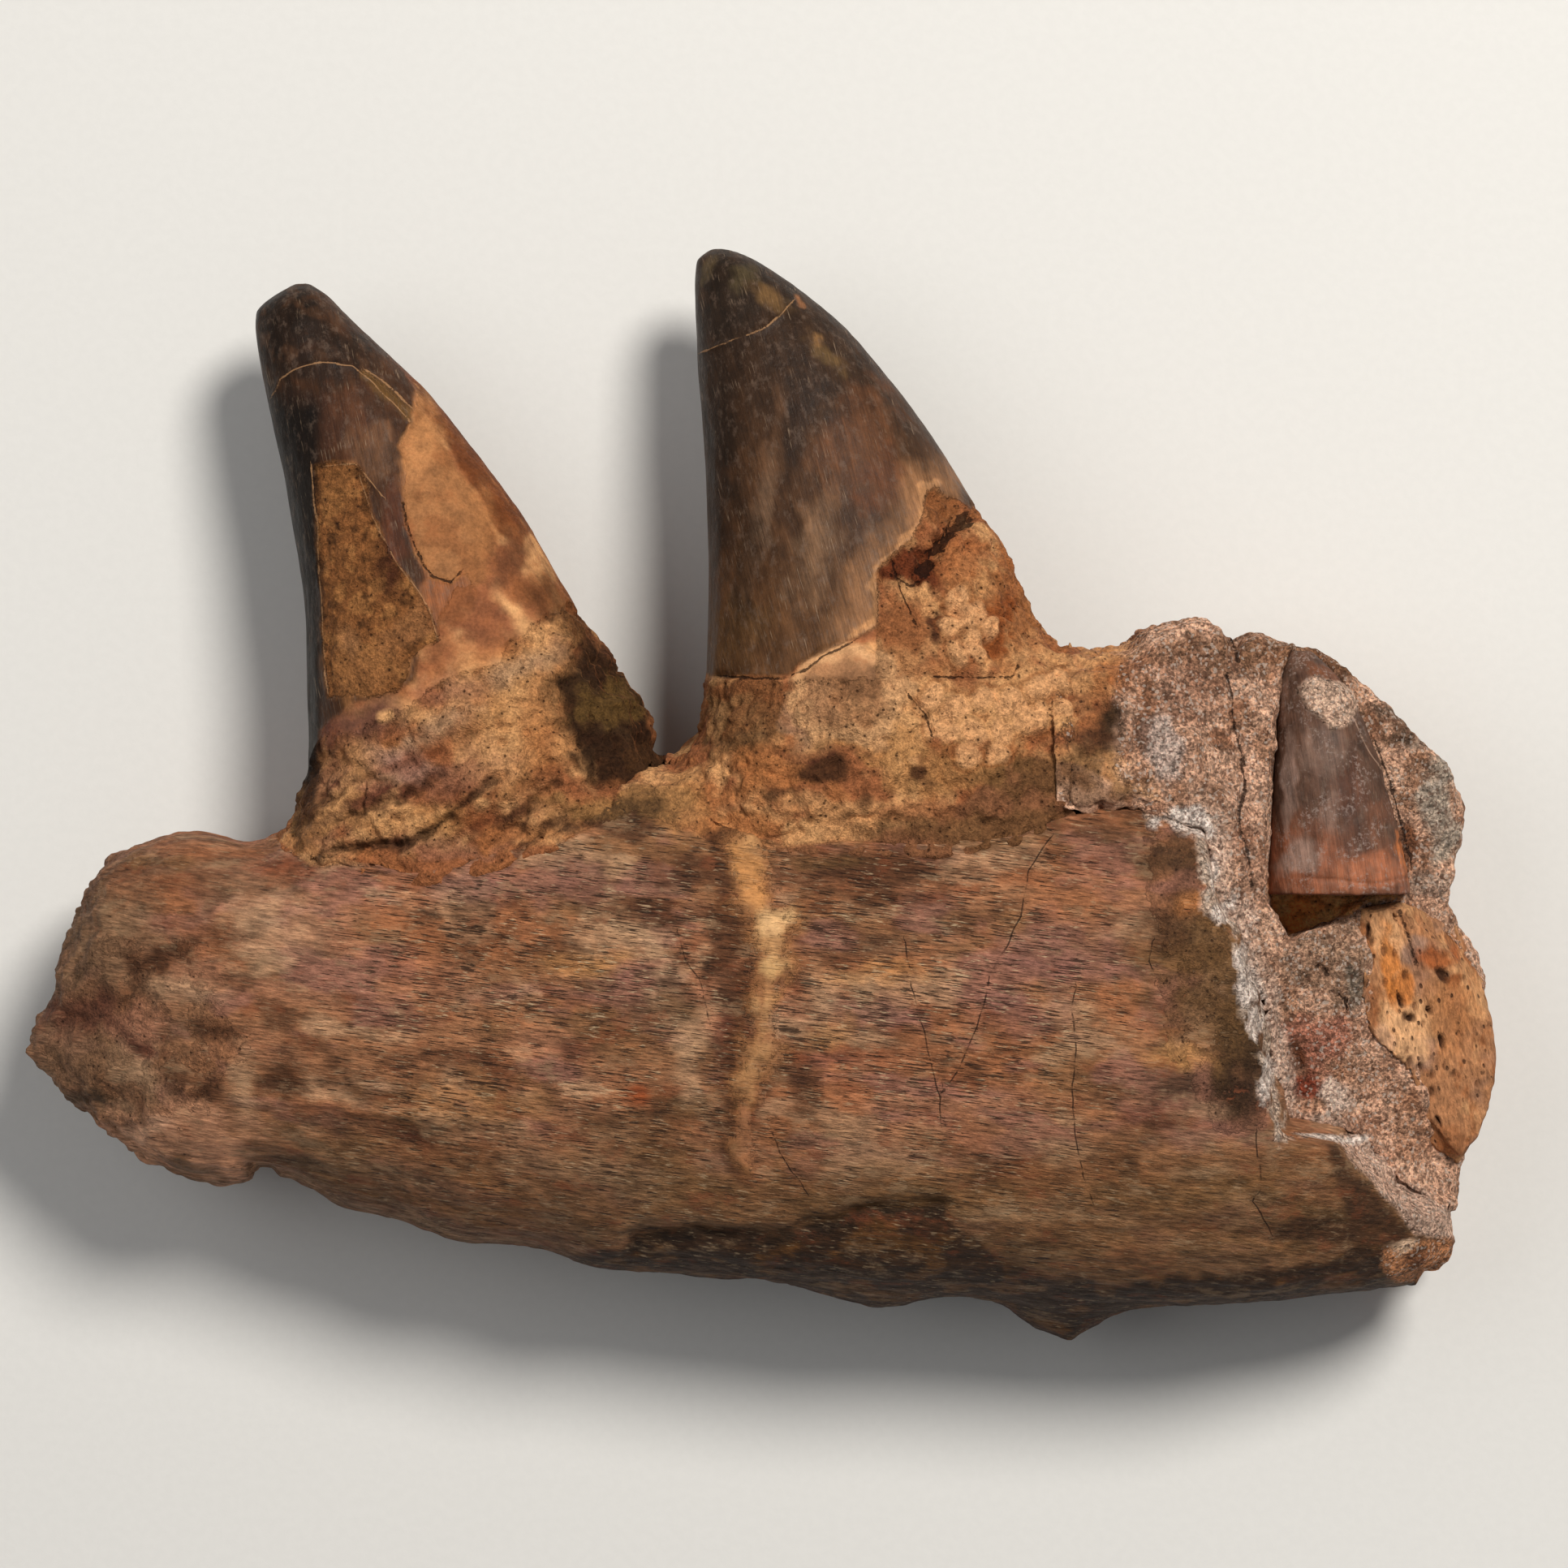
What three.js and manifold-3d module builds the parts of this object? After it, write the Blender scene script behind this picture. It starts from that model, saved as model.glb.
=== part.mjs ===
// A broken section of fossil mosasaur jaw with three teeth, in sandy rock.
// It lies on its inner (tongue) side, with its outer (lip) side up and its teeth pointing along +Y.
// Units are millimetres, +Z is up, and the origin is on the ground under the middle of the bounding box.

import * as THREE from "three";
import { mergeVertices } from "three/addons/utils/BufferGeometryUtils.js";
import Module from "manifold-3d";

const wasm = await Module();
wasm.setup();

// ---- Driving dimensions ------------------------------------------------------------------------

const GAP = 0.3; // clearance between pieces that touch
const FAR = 200; // longer than the whole fossil: the reach of a cutting block

// The jaw bone, from its left broken end (-X) to its right one.
const JAW_LEFT = -89.9;
const JAW_RIGHT = 84.6;
const JAW_RINGS = 48;
const JAW_SIDES = 30;
const RING_SPREAD = 1.15; // above 1, the rings are closer together at the left end
const WIDEST_HEIGHT = 15; // height above the ground where the bone reaches furthest in Y
const INNER_DEPTH = 3; // how far the round inner side would reach below the ground if it weren't worn flat

// Upper (tooth-bearing) and lower margins of the bone, as [x, y].
const UPPER_MARGIN = [
  [-89.9, -30.4], [-87.8, -27.6], [-85.8, -21], [-83, -14.2], [-81.2, -10.2], [-80, -8.4], [-77.6, -7.2],
  [-73.5, -5.6], [-69.5, -4.6], [-65.5, -5.6], [-61.5, -6.4], [-57, -5.8], [-50, -3], [-40, -1], [-25, 0.6],
  [-16, 1.4], [-10, 3.8], [-4, 1.6], [10, 1], [35, 1], [60, 0], [84.6, -3],
];
const LOWER_MARGIN = [
  [-89.9, -32], [-87, -35.8], [-81.8, -40.6], [-77.8, -43.4], [-73.5, -46], [-65.5, -47.6],
  [-62.2, -46.6], [-57.8, -47.6], [-53.8, -49.8], [-49.8, -51.6], [-45.8, -52.4], [-41.8, -53.6],
  [-37.8, -55.3], [-33.7, -55.9], [-29.7, -55.5], [-25.7, -56.4], [-21.6, -58.4], [-13.6, -58.9],
  [-5.6, -59.5], [6, -60.4], [14, -60.8], [26.5, -61.5], [34, -62], [46.7, -63], [58.7, -63],
  [66.8, -62.3], [74.8, -61.5], [80, -61], [84.6, -57.4],
];
// Height of the outer face above the ground, as [x, z].
const OUTER_FACE = [
  [-89.9, 26], [-82, 32], [-72, 36], [-55, 39.5], [-30, 42], [0, 43.5], [30, 44], [56, 43], [70, 40],
  [84.6, 32],
];
// How square the bone's section is, where 2 is an ellipse.
const SQUARE = { outerUpper: 3.8, outerLower: 2.9, inner: 2.5 };
const UNDULATION = 0.4; // depth of the outer face's slow waves
// Swells (+) and dips (-) of the outer face, as [x, y, radius, height].
const SWELLS = [
  [-68, -40, 10, 2.2], [-78, -26, 11, -1.6], [-62, -24, 12, 1.2], [-50, -45, 9, -1.6], [-40, -12, 8, -1.4],
  [-22, -30, 14, 0.9], [0, -8, 9, -1.2], [3, -34, 7, 1], [18, -50, 10, 1.2], [30, -12, 12, -0.9],
  [44, -30, 9, 1.1], [52, -12, 7, 1.4], [56, -40, 8, 1], [68, -54, 8, -1.2],
];

// Knobs that hang from the lower margin, as [x, height of the middle, width, tallness, how far it hangs].
const KNOBS = [
  [14.5, 16, 8, 9, 3.4],
  [37.2, 13, 6.4, 8, 6.1],
  [-68, 17, 5, 9, 0.8],
];

// The left break: planes that lean so that the outer face reaches furthest left.
// Each has where it meets the ground, its lean from upright and its turn about the upright, in degrees.
// They turn about points that are level with the middle of the broken end.
const LEFT_BREAKS = [
  { x: -75, lean: 34, turn: 0 },
  { x: -88, lean: 24, turn: -42 },
  { x: -81, lean: 20, turn: 36 },
];
const LEFT_END_MIDDLE = -30;

// The right break, as [x, y] on the outer face. Everything to its upper right is rock, root and tooth.
const RIGHT_BREAK = [
  [34, -1.5], [41, -2], [45.5, -0.6], [49.5, -3.2], [53.6, -4.4], [54.6, -10.4], [55.2, -14.4],
  [57.6, -17.4], [58, -20.6], [60, -26], [61.5, -32.6], [63, -41.2], [69.4, -42.2], [74.2, -46.8],
  [77.4, -51], [80.8, -53], [85, -54.2],
];
const BREAK_FLOOR = 4; // thickness of the inner wall that is left under the rock
const BREAK_FACE = 38; // height at which the break has the outline above
const BREAK_TAPER = 0.004; // how much the break narrows for each millimetre below that height
const BREAK_CENTRE = [84, 6]; // the point that it narrows towards

// A tooth station is [y, left edge, right edge, middle height, half thickness, squareness], root first.
// Its section is an ellipse where the squareness is 2.
// A plug is [foot, left edge, right edge, middle height, half thickness].
const FRONT_TOOTH = {
  stations: [
    [-16, -51, -17, 21.3, 11, 2.4], [-12, -56.6, -13.4, 21.4, 14.6, 2.6],
    [-8, -59, -12.3, 21.5, 16.6, 2.7], [-4, -58.4, -12.1, 21.6, 17.2, 2.7],
    [0, -56, -11.9, 21.8, 16.8, 2.6], [5, -55.2, -12.4, 21.8, 16, 2.4],
    [10, -55.5, -13.8, 21.6, 15, 2.3], [16, -55.7, -17.8, 21.4, 14.2, 2.2],
    [21.4, -55.9, -21.5, 21, 13.5, 2.1], [28, -56.6, -25.6, 20.5, 12.5, 2.1],
    [34.4, -57.8, -29.5, 20, 11.4, 2.1], [40, -58.8, -33.5, 19.4, 10.2, 2.1],
    [45.2, -60.1, -37.5, 18.9, 9.2, 2.1], [50, -61.1, -41.5, 18.4, 8.1, 2.1],
    [54, -61.8, -45.5, 18, 7.2, 2.1], [57.9, -62.3, -49.7, 17.6, 6.2, 2.1],
    [60, -61.8, -51.8, 17.4, 5.2, 2.1], [61.8, -59.5, -53.6, 17.2, 3.6, 2.1],
    [63, -57.4, -55.6, 17, 1.4, 2],
  ],
  plug: [-26, -49, -21, 21, 10.5],
};
const MIDDLE_TOOTH = {
  stations: [
    [-12, -4, 35, 22.4, 12, 2.6], [-8, -9, 39.6, 22.5, 15.6, 2.9],
    [-4, -11.2, 41.3, 22.6, 18, 3.2], [-0.5, -11.2, 41.6, 22.6, 18.8, 3.2],
    [3, -10.2, 41.4, 22.6, 18.6, 3.1], [6.4, -7.9, 41, 22.6, 18, 3],
    [10, -6.8, 40, 22.4, 17.2, 2.8], [17, -6.4, 37.2, 22.1, 16.2, 2.5],
    [21.5, -6.3, 34.5, 21.9, 15.4, 2.3], [29.3, -6.3, 30.5, 21.4, 14, 2.1],
    [35.6, -6.5, 26.5, 20.9, 12.9, 2.1], [42.2, -6.8, 22.5, 20.4, 11.7, 2.1],
    [48, -7.3, 18.5, 19.9, 10.5, 2.1], [53, -7.7, 14.5, 19.4, 9.3, 2.1],
    [57.6, -7.9, 10.5, 18.9, 8, 2.1], [61, -8, 6.4, 18.5, 6.8, 2.1],
    [64, -8, 2.4, 18.2, 5.5, 2.1], [66.2, -7.4, -1.2, 18, 3.6, 2.1],
    [67.2, -5.8, -3.8, 17.9, 1.4, 2],
  ],
  plug: [-28, -3, 32, 21.5, 12],
};
const REAR_TOOTH = {
  stations: [
    [-12.3, 61.5, 79.6, 27, 8.6, 2.3], [-7, 61.8, 78.8, 27, 8.6, 2.3],
    [-2, 62, 77.4, 27, 8.4, 2.3], [3, 62.4, 75.9, 27, 7.9, 2.2],
    [8, 62.8, 74.2, 27, 7.2, 2.2], [12, 63.2, 72.2, 27, 6.2, 2.1],
    [15, 63.8, 70.2, 27, 4.6, 2], [17.3, 65, 67.6, 27, 1.8, 2],
  ],
  plug: null,
};
const TOOTH_SIDES = 22;
const RINGS_PER_STATION = 1.4;
const PLUG_SIDES = 16;
const PLUG_RINGS = 5;
const PLUG_OVERLAP = 3; // how far a plug reaches up into its tooth
const PLUG_FOOT = 0.7; // size of a plug's foot against its top

// The rock that fills the jaw behind its right break, as the [x, y] of its rim, and its heights.
const ROCK_CENTRE = [64, -9];
const ROCK_RIM = [
  [84.8, -54.6], [85.4, -50], [86, -40], [89.2, -24.6], [88.6, -20.2], [86.6, -17], [84.8, -14.2],
  [84.8, -11], [86, -6], [86.4, -1], [84.8, 2.2], [83, 5.2], [79.2, 8.6], [74, 13.6], [71.8, 15.2],
  [66, 18.1], [60, 19.8], [57.6, 18.8], [55.4, 22.4], [53.6, 21.4], [50, 20.6], [46.6, 19.9],
  [43.6, 17.4], [38, 17.3], [33, 15], [31, 2], [34, -12], [44, -42], [60, -58], [76, -62],
];
const ROCK_HEIGHTS = { low: -6, middle: 15, high: 45 };
const ROCK_SQUARE = 3.4;
const ROCK_SIDES = 60;
const LUMP_RINGS = 12;
// Its broken outer face passes through these points, as [x, y, z].
const ROCK_FACE = [
  [36, 6, 38], [42, -2, 40], [50, -4, 39.6], [40, 12, 35.5], [46, 16, 34], [54, 17, 31.5], [51, 6, 38.4],
  [56, 12, 33.6], [57, -4, 38], [57, -12, 37.4], [60.6, 8, 32], [60.6, 0, 33.4], [60.4, -8, 34.4],
  [59, -20, 35.8], [61, -32, 33.8], [64, -22, 31.8], [68, -27, 30.6], [66, -36, 28.8], [72, -36, 29.2],
  [76, -43, 26.6], [81, -49, 26], [70, -42, 28.4], [86, -44, 20], [64, 17.5, 27.4], [70, 15, 26.8],
  [75, 10, 26.8], [79, 3, 27], [82, -4, 26.8], [83, -10, 25.8], [86, -6, 20], [86.5, -16, 20], [84, -14, 24],
];
const ROCK_FACE_CELL = 4.4; // size of the squares that the face is made of
const FACE_MARGIN = 2; // squares that it reaches past the points on each side
const FACE_BLUR = 1.5; // the face is nearly level within this distance of a point
const FACE_POWER = 4; // how quickly a point's pull on the face falls off

// The spongy root under the rear tooth, as its [x, y] rim, and its heights.
const ROOT_CENTRE = [82.4, -28];
const ROOT_RIM = [
  [73.6, -14.8], [76.2, -13.4], [79.4, -14.7], [82.9, -17.6], [86.4, -21.4], [89.2, -25], [90, -30],
  [90, -36], [88.4, -41], [86.6, -44.8], [84.4, -44.6], [82.6, -41], [80.8, -36.4], [78.8, -32.2],
  [76.6, -30.6], [74.6, -28.4], [73.6, -25.6], [73.6, -20.4],
];
const ROOT_HEIGHTS = { low: 5, middle: 16, high: 37 };
const ROOT_SQUARE = 5;
const ROOT_SIDES = 32;
const ROOT_SLOPE = { x: 66, z: 33, fall: 20 }; // its outer side falls to the right, in degrees

// The hollow between the rear tooth's crown and its root, as its [x, y] outline, and its floor.
const HOLLOW = [
  [61, -12], [78, -12.4], [75.6, -13.2], [71.4, -15.4], [67, -17], [64.6, -18.2], [62.4, -15.4],
];
const HOLLOW_FLOOR = 22;

// ---- Tools ---------------------------------------------------------------------------------------

// A three.js geometry as a solid that can be joined and cut.
function solid(geometry) {
  const bare = geometry.index ? geometry.toNonIndexed() : geometry.clone();
  bare.deleteAttribute("normal");
  bare.deleteAttribute("uv");
  const merged = mergeVertices(bare, 1e-4);
  return new wasm.Manifold(new wasm.Mesh({
    numProp: 3,
    vertProperties: merged.attributes.position.array,
    triVerts: new Uint32Array(merged.index.array),
  }));
}

// A solid as a three.js geometry with smooth normals left to the viewer.
function geometryOf(made) {
  const mesh = made.getMesh();
  const geometry = new THREE.BufferGeometry();
  geometry.setAttribute("position", new THREE.BufferAttribute(mesh.vertProperties, 3));
  geometry.setIndex(new THREE.BufferAttribute(mesh.triVerts, 1));
  geometry.computeVertexNormals();
  return geometry;
}

// A smooth function through rows of [at, value, ...]. It gives the array of values.
function through(rows) {
  const width = rows[0].length - 1;
  const curve = new THREE.CubicInterpolant(
    rows.map((row) => row[0]), Float32Array.from(rows.flatMap((row) => row.slice(1))), width,
  );
  return (at) => [...curve.evaluate(at)];
}

// How far a section of unit half width and height reaches at an angle, where square 2 is a circle.
function reachAt(angle, square) {
  return (Math.abs(Math.cos(angle)) ** square + Math.abs(Math.sin(angle)) ** square) ** (-1 / square);
}

// A closed skin of rings along an axis. place(t, angle, out) gives a point: t runs from 0 at the first ring
// to 1 at the last, and out is 1 on the skin and 0 at the middle of an end.
function skin(rings, sides, place) {
  const geometry = new THREE.CylinderGeometry(1, 1, 1, sides, rings - 1);
  const points = geometry.attributes.position;
  for (let i = 0; i < points.count; i++) {
    const [across, along, up] = [points.getX(i), points.getY(i), points.getZ(i)];
    const out = Math.round(Math.hypot(across, up));
    points.setXYZ(i, ...place(along + 0.5, Math.atan2(across, up), out));
  }
  return solid(geometry);
}

// A round-edged lump with the given rim, seen from above.
function lump(centre, rim, heights, square, sides) {
  const turn = 2 * Math.PI;
  const polar = rim.map(([x, y]) => {
    const [dx, dy] = [x - centre[0], y - centre[1]];
    return [Math.atan2(dy, dx), Math.hypot(dx, dy)];
  }).sort((a, b) => a[0] - b[0]);
  const before = polar.slice(-3).map(([angle, r]) => [angle - turn, r]);
  const after = polar.slice(0, 3).map(([angle, r]) => [angle + turn, r]);
  const radius = through([...before, ...polar, ...after]);
  const geometry = new THREE.SphereGeometry(1, sides, LUMP_RINGS);
  const points = geometry.attributes.position;
  for (let i = 0; i < points.count; i++) {
    const [x, y, z] = [points.getX(i), -points.getZ(i), points.getY(i)];
    const flat = Math.min(1, Math.hypot(x, y));
    const reach = reachAt(Math.atan2(z, flat), square);
    const r = flat * reach * radius(Math.atan2(y, x))[0];
    const angle = Math.atan2(y, x);
    const depth = z > 0 ? heights.high - heights.middle : heights.middle - heights.low;
    points.setXYZ(
      i, centre[0] + r * Math.cos(angle), centre[1] + r * Math.sin(angle), heights.middle + z * reach * depth,
    );
  }
  return solid(geometry);
}

// A prism on an [x, y] outline, from one height up to another.
function prism(outline, low, high) {
  const shape = new THREE.Shape(outline.map(([x, y]) => new THREE.Vector2(x, y)));
  const geometry = new THREE.ExtrudeGeometry(shape, { depth: high - low, bevelEnabled: false });
  return geometry.translate(0, 0, low);
}

// A block that cuts away everything above an uneven face through the given points.
function aboveFace(points, cell) {
  const [wide, deep] = [0, 1].map((axis) => {
    const values = points.map((point) => point[axis]);
    const [least, most] = [Math.min(...values), Math.max(...values)];
    return { cells: Math.ceil((most - least) / cell) + 2 * FACE_MARGIN, middle: (least + most) / 2 };
  });
  const block = new THREE.BoxGeometry(wide.cells * cell, deep.cells * cell, FAR, wide.cells, deep.cells, 1);
  block.translate(wide.middle, deep.middle, FAR);
  const corners = block.attributes.position;
  for (let i = 0; i < corners.count; i++) {
    if (corners.getZ(i) < FAR) {
      corners.setZ(i, heightAmong(points, corners.getX(i), corners.getY(i)));
    }
  }
  return solid(block);
}

// The height at (x, y) of a surface through scattered points: near points count far more than distant ones.
function heightAmong(points, x, y) {
  let [sum, weights] = [0, 0];
  for (const [px, py, pz] of points) {
    const weight = 1 / (Math.hypot(x - px, y - py) + FACE_BLUR) ** FACE_POWER;
    sum += weight * pz;
    weights += weight;
  }
  return sum / weights;
}

// A block that cuts away everything above a plane that falls towards +X.
function above({ x, z, fall }) {
  const block = new THREE.BoxGeometry(2 * FAR, 2 * FAR, FAR).translate(0, 0, FAR / 2);
  block.rotateY(THREE.MathUtils.degToRad(fall));
  return solid(block.translate(x, 0, z));
}

const underground = solid(new THREE.BoxGeometry(2 * FAR, 2 * FAR, FAR).translate(0, 0, -FAR / 2));

// ---- The jaw bone ----------------------------------------------------------------------------------

// Height that the swells and dips add to the outer face at (x, y).
function swell(x, y) {
  return SWELLS.reduce((sum, [sx, sy, radius, height]) => {
    const near = Math.hypot(x - sx, y - sy) / radius;
    return sum + height * Math.exp(-near * near);
  }, 0);
}

// How far the knobs hang below the lower margin at (x, z).
function hang(x, z) {
  return KNOBS.reduce((sum, [kx, kz, width, tallness, far]) => {
    const near = Math.hypot((x - kx) / width, (z - kz) / tallness);
    return sum + far * Math.exp(-near * near);
  }, 0);
}

function jawBulk() {
  const upper = through(UPPER_MARGIN);
  const lower = through(LOWER_MARGIN);
  const face = through(OUTER_FACE);
  const place = (t, angle, out) => {
    const x = THREE.MathUtils.lerp(JAW_LEFT, JAW_RIGHT, t ** RING_SPREAD);
    const [cos, sin] = [Math.cos(angle), Math.sin(angle)];
    const square = sin < 0 ? SQUARE.inner : cos > 0 ? SQUARE.outerUpper : SQUARE.outerLower;
    const reach = out * reachAt(angle, square);
    const [high, low] = [upper(x)[0], lower(x)[0]];
    const y = (high + low) / 2 + (reach * cos * (high - low)) / 2;
    const wave = UNDULATION * Math.sin(x / 7 + 2 * cos) * Math.cos(x / 17 - 3 * cos);
    const depth = sin > 0 ? face(x)[0] - WIDEST_HEIGHT + wave + swell(x, y) : WIDEST_HEIGHT + INNER_DEPTH;
    const z = WIDEST_HEIGHT + reach * sin * depth;
    return [x, y + Math.min(0, reach * cos) * hang(x, z), z];
  };
  const bulk = skin(JAW_RINGS, JAW_SIDES, place).subtract(underground);
  return LEFT_BREAKS.reduce((left, plane) => left.subtract(leftBreak(plane)), bulk);
}

// A block that breaks off the left end, leaning out over the break's foot.
function leftBreak({ x, lean, turn }) {
  const block = new THREE.BoxGeometry(FAR, 2 * FAR, 2 * FAR).translate(-FAR / 2, 0, 0);
  block.rotateY(THREE.MathUtils.degToRad(-lean)).rotateZ(THREE.MathUtils.degToRad(turn));
  return solid(block.translate(x, LEFT_END_MIDDLE, 0));
}

// The tapering block where the right end is broken open. A positive inset makes it smaller all round.
function rightBreak(inset) {
  const [cx, cy] = BREAK_CENTRE;
  const outline = [...RIGHT_BREAK, [FAR, RIGHT_BREAK.at(-1)[1]], [FAR, FAR], [RIGHT_BREAK[0][0], FAR]];
  const block = prism(outline, BREAK_FLOOR + inset, FAR);
  const points = block.attributes.position;
  for (let i = 0; i < points.count; i++) {
    const [x, y, z] = [points.getX(i), points.getY(i), points.getZ(i)];
    const scale = 1 + BREAK_TAPER * (z - BREAK_FACE);
    points.setXYZ(i, cx + (x - cx) * scale + inset, cy + (y - cy) * scale + inset, z);
  }
  return solid(block);
}

// ---- The teeth -------------------------------------------------------------------------------------

// A tooth, or with a positive grow the socket that holds it with that clearance.
function tooth({ stations, plug }, grow = 0) {
  const section = through(stations);
  const [base, tip] = [stations[0][0], stations.at(-1)[0]];
  const place = (t, angle, out) => {
    const y = THREE.MathUtils.lerp(base - grow, tip + grow, Math.sin((t * Math.PI) / 2));
    const [left, right, middle, half, square] = section(y);
    const reach = out * reachAt(angle, square);
    const across = ((right - left) / 2 + grow) * reach * Math.sin(angle);
    return [(left + right) / 2 + across, y, middle + (half + grow) * reach * Math.cos(angle)];
  };
  const body = skin(Math.round(stations.length * RINGS_PER_STATION), TOOTH_SIDES, place);
  return plug ? body.add(rootPlug(base, plug, grow)) : body;
}

// The hidden part of a root: a narrow oval plug that runs down into the socket.
function rootPlug(base, [foot, left, right, middle, half], grow) {
  const place = (t, angle, out) => {
    const taper = THREE.MathUtils.lerp(PLUG_FOOT, 1, Math.sin((t * Math.PI) / 2));
    return [
      (left + right) / 2 + out * (((right - left) / 2) * taper + grow) * Math.sin(angle),
      THREE.MathUtils.lerp(foot - grow, base + PLUG_OVERLAP, t),
      middle + out * (half * taper + grow) * Math.cos(angle),
    ];
  };
  return skin(PLUG_RINGS, PLUG_SIDES, place);
}

// ---- Putting the fossil together -------------------------------------------------------------------

const bulk = jawBulk();
const broken = rightBreak(0);
const inside = rightBreak(GAP);

const jaw = bulk.subtract(broken).subtract(tooth(FRONT_TOOTH, GAP)).subtract(tooth(MIDDLE_TOOTH, GAP));

const rootLump = (grow) => {
  const rim = ROOT_RIM.map(([x, y]) => {
    const [dx, dy] = [x - ROOT_CENTRE[0], y - ROOT_CENTRE[1]];
    const stretch = 1 + grow / Math.hypot(dx, dy);
    return [ROOT_CENTRE[0] + dx * stretch, ROOT_CENTRE[1] + dy * stretch];
  });
  const heights = {
    low: ROOT_HEIGHTS.low - grow, middle: ROOT_HEIGHTS.middle, high: ROOT_HEIGHTS.high + grow,
  };
  return lump(ROOT_CENTRE, rim, heights, ROOT_SQUARE, ROOT_SIDES);
};
const root = rootLump(0).subtract(above(ROOT_SLOPE)).intersect(inside);

const rearOutline = [
  ...REAR_TOOTH.stations.map(([y, left]) => [left - GAP, y - GAP]),
  ...REAR_TOOTH.stations.map(([y, , right]) => [right + GAP, y - GAP]).reverse(),
];
const rock = lump(ROCK_CENTRE, ROCK_RIM, ROCK_HEIGHTS, ROCK_SQUARE, ROCK_SIDES)
  .intersect(inside)
  .subtract(aboveFace(ROCK_FACE, ROCK_FACE_CELL))
  .subtract(tooth(MIDDLE_TOOTH, GAP))
  .subtract(tooth(REAR_TOOTH, GAP))
  .subtract(solid(prism(rearOutline, REAR_TOOTH.stations[0][3], FAR)))
  .subtract(solid(prism(HOLLOW, HOLLOW_FLOOR, FAR)))
  .subtract(rootLump(GAP));

const pieces = [
  ["jaw_bone", jaw, { color: 0x9c7558, roughness: 0.8 }],
  ["front_tooth", tooth(FRONT_TOOTH), { color: 0x8a5f3c, roughness: 0.5 }],
  ["middle_tooth", tooth(MIDDLE_TOOTH), { color: 0x5b4332, roughness: 0.4 }],
  ["rear_tooth", tooth(REAR_TOOTH), { color: 0x4c3a30, roughness: 0.35 }],
  ["rear_tooth_root", root, { color: 0xb98a55, roughness: 0.85 }],
  ["rock_matrix", rock, { color: 0xb09080, roughness: 0.95 }],
];

const fossil = new THREE.Group();
for (const [name, made, look] of pieces) {
  const mesh = new THREE.Mesh(geometryOf(made), new THREE.MeshStandardMaterial({ ...look, metalness: 0 }));
  mesh.name = name;
  fossil.add(mesh);
}
const box = new THREE.Box3().setFromObject(fossil);
const middle = box.getCenter(new THREE.Vector3()).setZ(box.min.z);
fossil.children.forEach((mesh) => mesh.position.sub(middle));

export default fossil;
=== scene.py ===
"""A fossil mosasaur jaw section with its teeth, lying on its inner side in soft studio light.

Each piece is a fine copy of its CAD solid. It is drawn onto one smooth skin where pieces have grown
together, then weathered by seeded noise and listed features, and painted. Lengths are millimetres
until a mesh is written. Places on the upper face are in pixels of a picture 1932 pixels wide that the
camera takes, to the right and down from its upper left corner.
"""

import math

import bpy
import numpy as np
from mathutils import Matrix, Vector
from mathutils.bvhtree import BVHTree
from mathutils.kdtree import KDTree


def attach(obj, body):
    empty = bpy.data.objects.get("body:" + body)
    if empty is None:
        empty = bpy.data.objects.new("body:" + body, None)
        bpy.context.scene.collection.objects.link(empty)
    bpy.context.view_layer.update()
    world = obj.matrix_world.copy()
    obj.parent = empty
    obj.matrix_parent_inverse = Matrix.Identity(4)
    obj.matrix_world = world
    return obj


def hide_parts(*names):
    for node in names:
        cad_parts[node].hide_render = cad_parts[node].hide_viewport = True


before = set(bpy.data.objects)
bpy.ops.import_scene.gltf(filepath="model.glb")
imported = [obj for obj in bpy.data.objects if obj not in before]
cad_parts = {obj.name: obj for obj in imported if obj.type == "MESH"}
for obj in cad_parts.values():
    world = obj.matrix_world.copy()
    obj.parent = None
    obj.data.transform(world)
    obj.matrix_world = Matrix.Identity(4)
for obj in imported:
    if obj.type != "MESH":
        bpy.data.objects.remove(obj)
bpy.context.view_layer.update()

MM = 0.001

# ---- The camera's picture ----

PICTURE_SIZE = 1932  # pixels
PIXEL = 0.1  # size of one pixel at the height of the reference plane, in mm
REFERENCE_HEIGHT = 20
CAMERA_RISE = 805  # above the reference plane
CAMERA_X, CAMERA_Y = 2.89, 1.45
SENSOR = 36


def picture_of(points):
    """Where points in mm appear in the picture, in pixels."""
    scale = CAMERA_RISE / (CAMERA_RISE + REFERENCE_HEIGHT - points[:, 2]) / PIXEL
    right = PICTURE_SIZE / 2 + (points[:, 0] - CAMERA_X) * scale
    down = PICTURE_SIZE / 2 - (points[:, 1] - CAMERA_Y) * scale
    return np.stack([right, down], axis=1)


def build_camera():
    data = bpy.data.cameras.new("camera")
    data.sensor_width = SENSOR
    data.lens = CAMERA_RISE * SENSOR / (PICTURE_SIZE * PIXEL)
    data.clip_start = 0.01
    camera = bpy.data.objects.new("camera", data)
    camera.location = Vector((CAMERA_X, CAMERA_Y, REFERENCE_HEIGHT + CAMERA_RISE)) * MM
    bpy.context.scene.collection.objects.link(camera)
    bpy.context.scene.camera = camera


# ---- Noise ----

LATTICE = 64  # random values along each side of a table, which then repeats
LIFT = 1000  # keeps every place in a table positive


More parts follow.
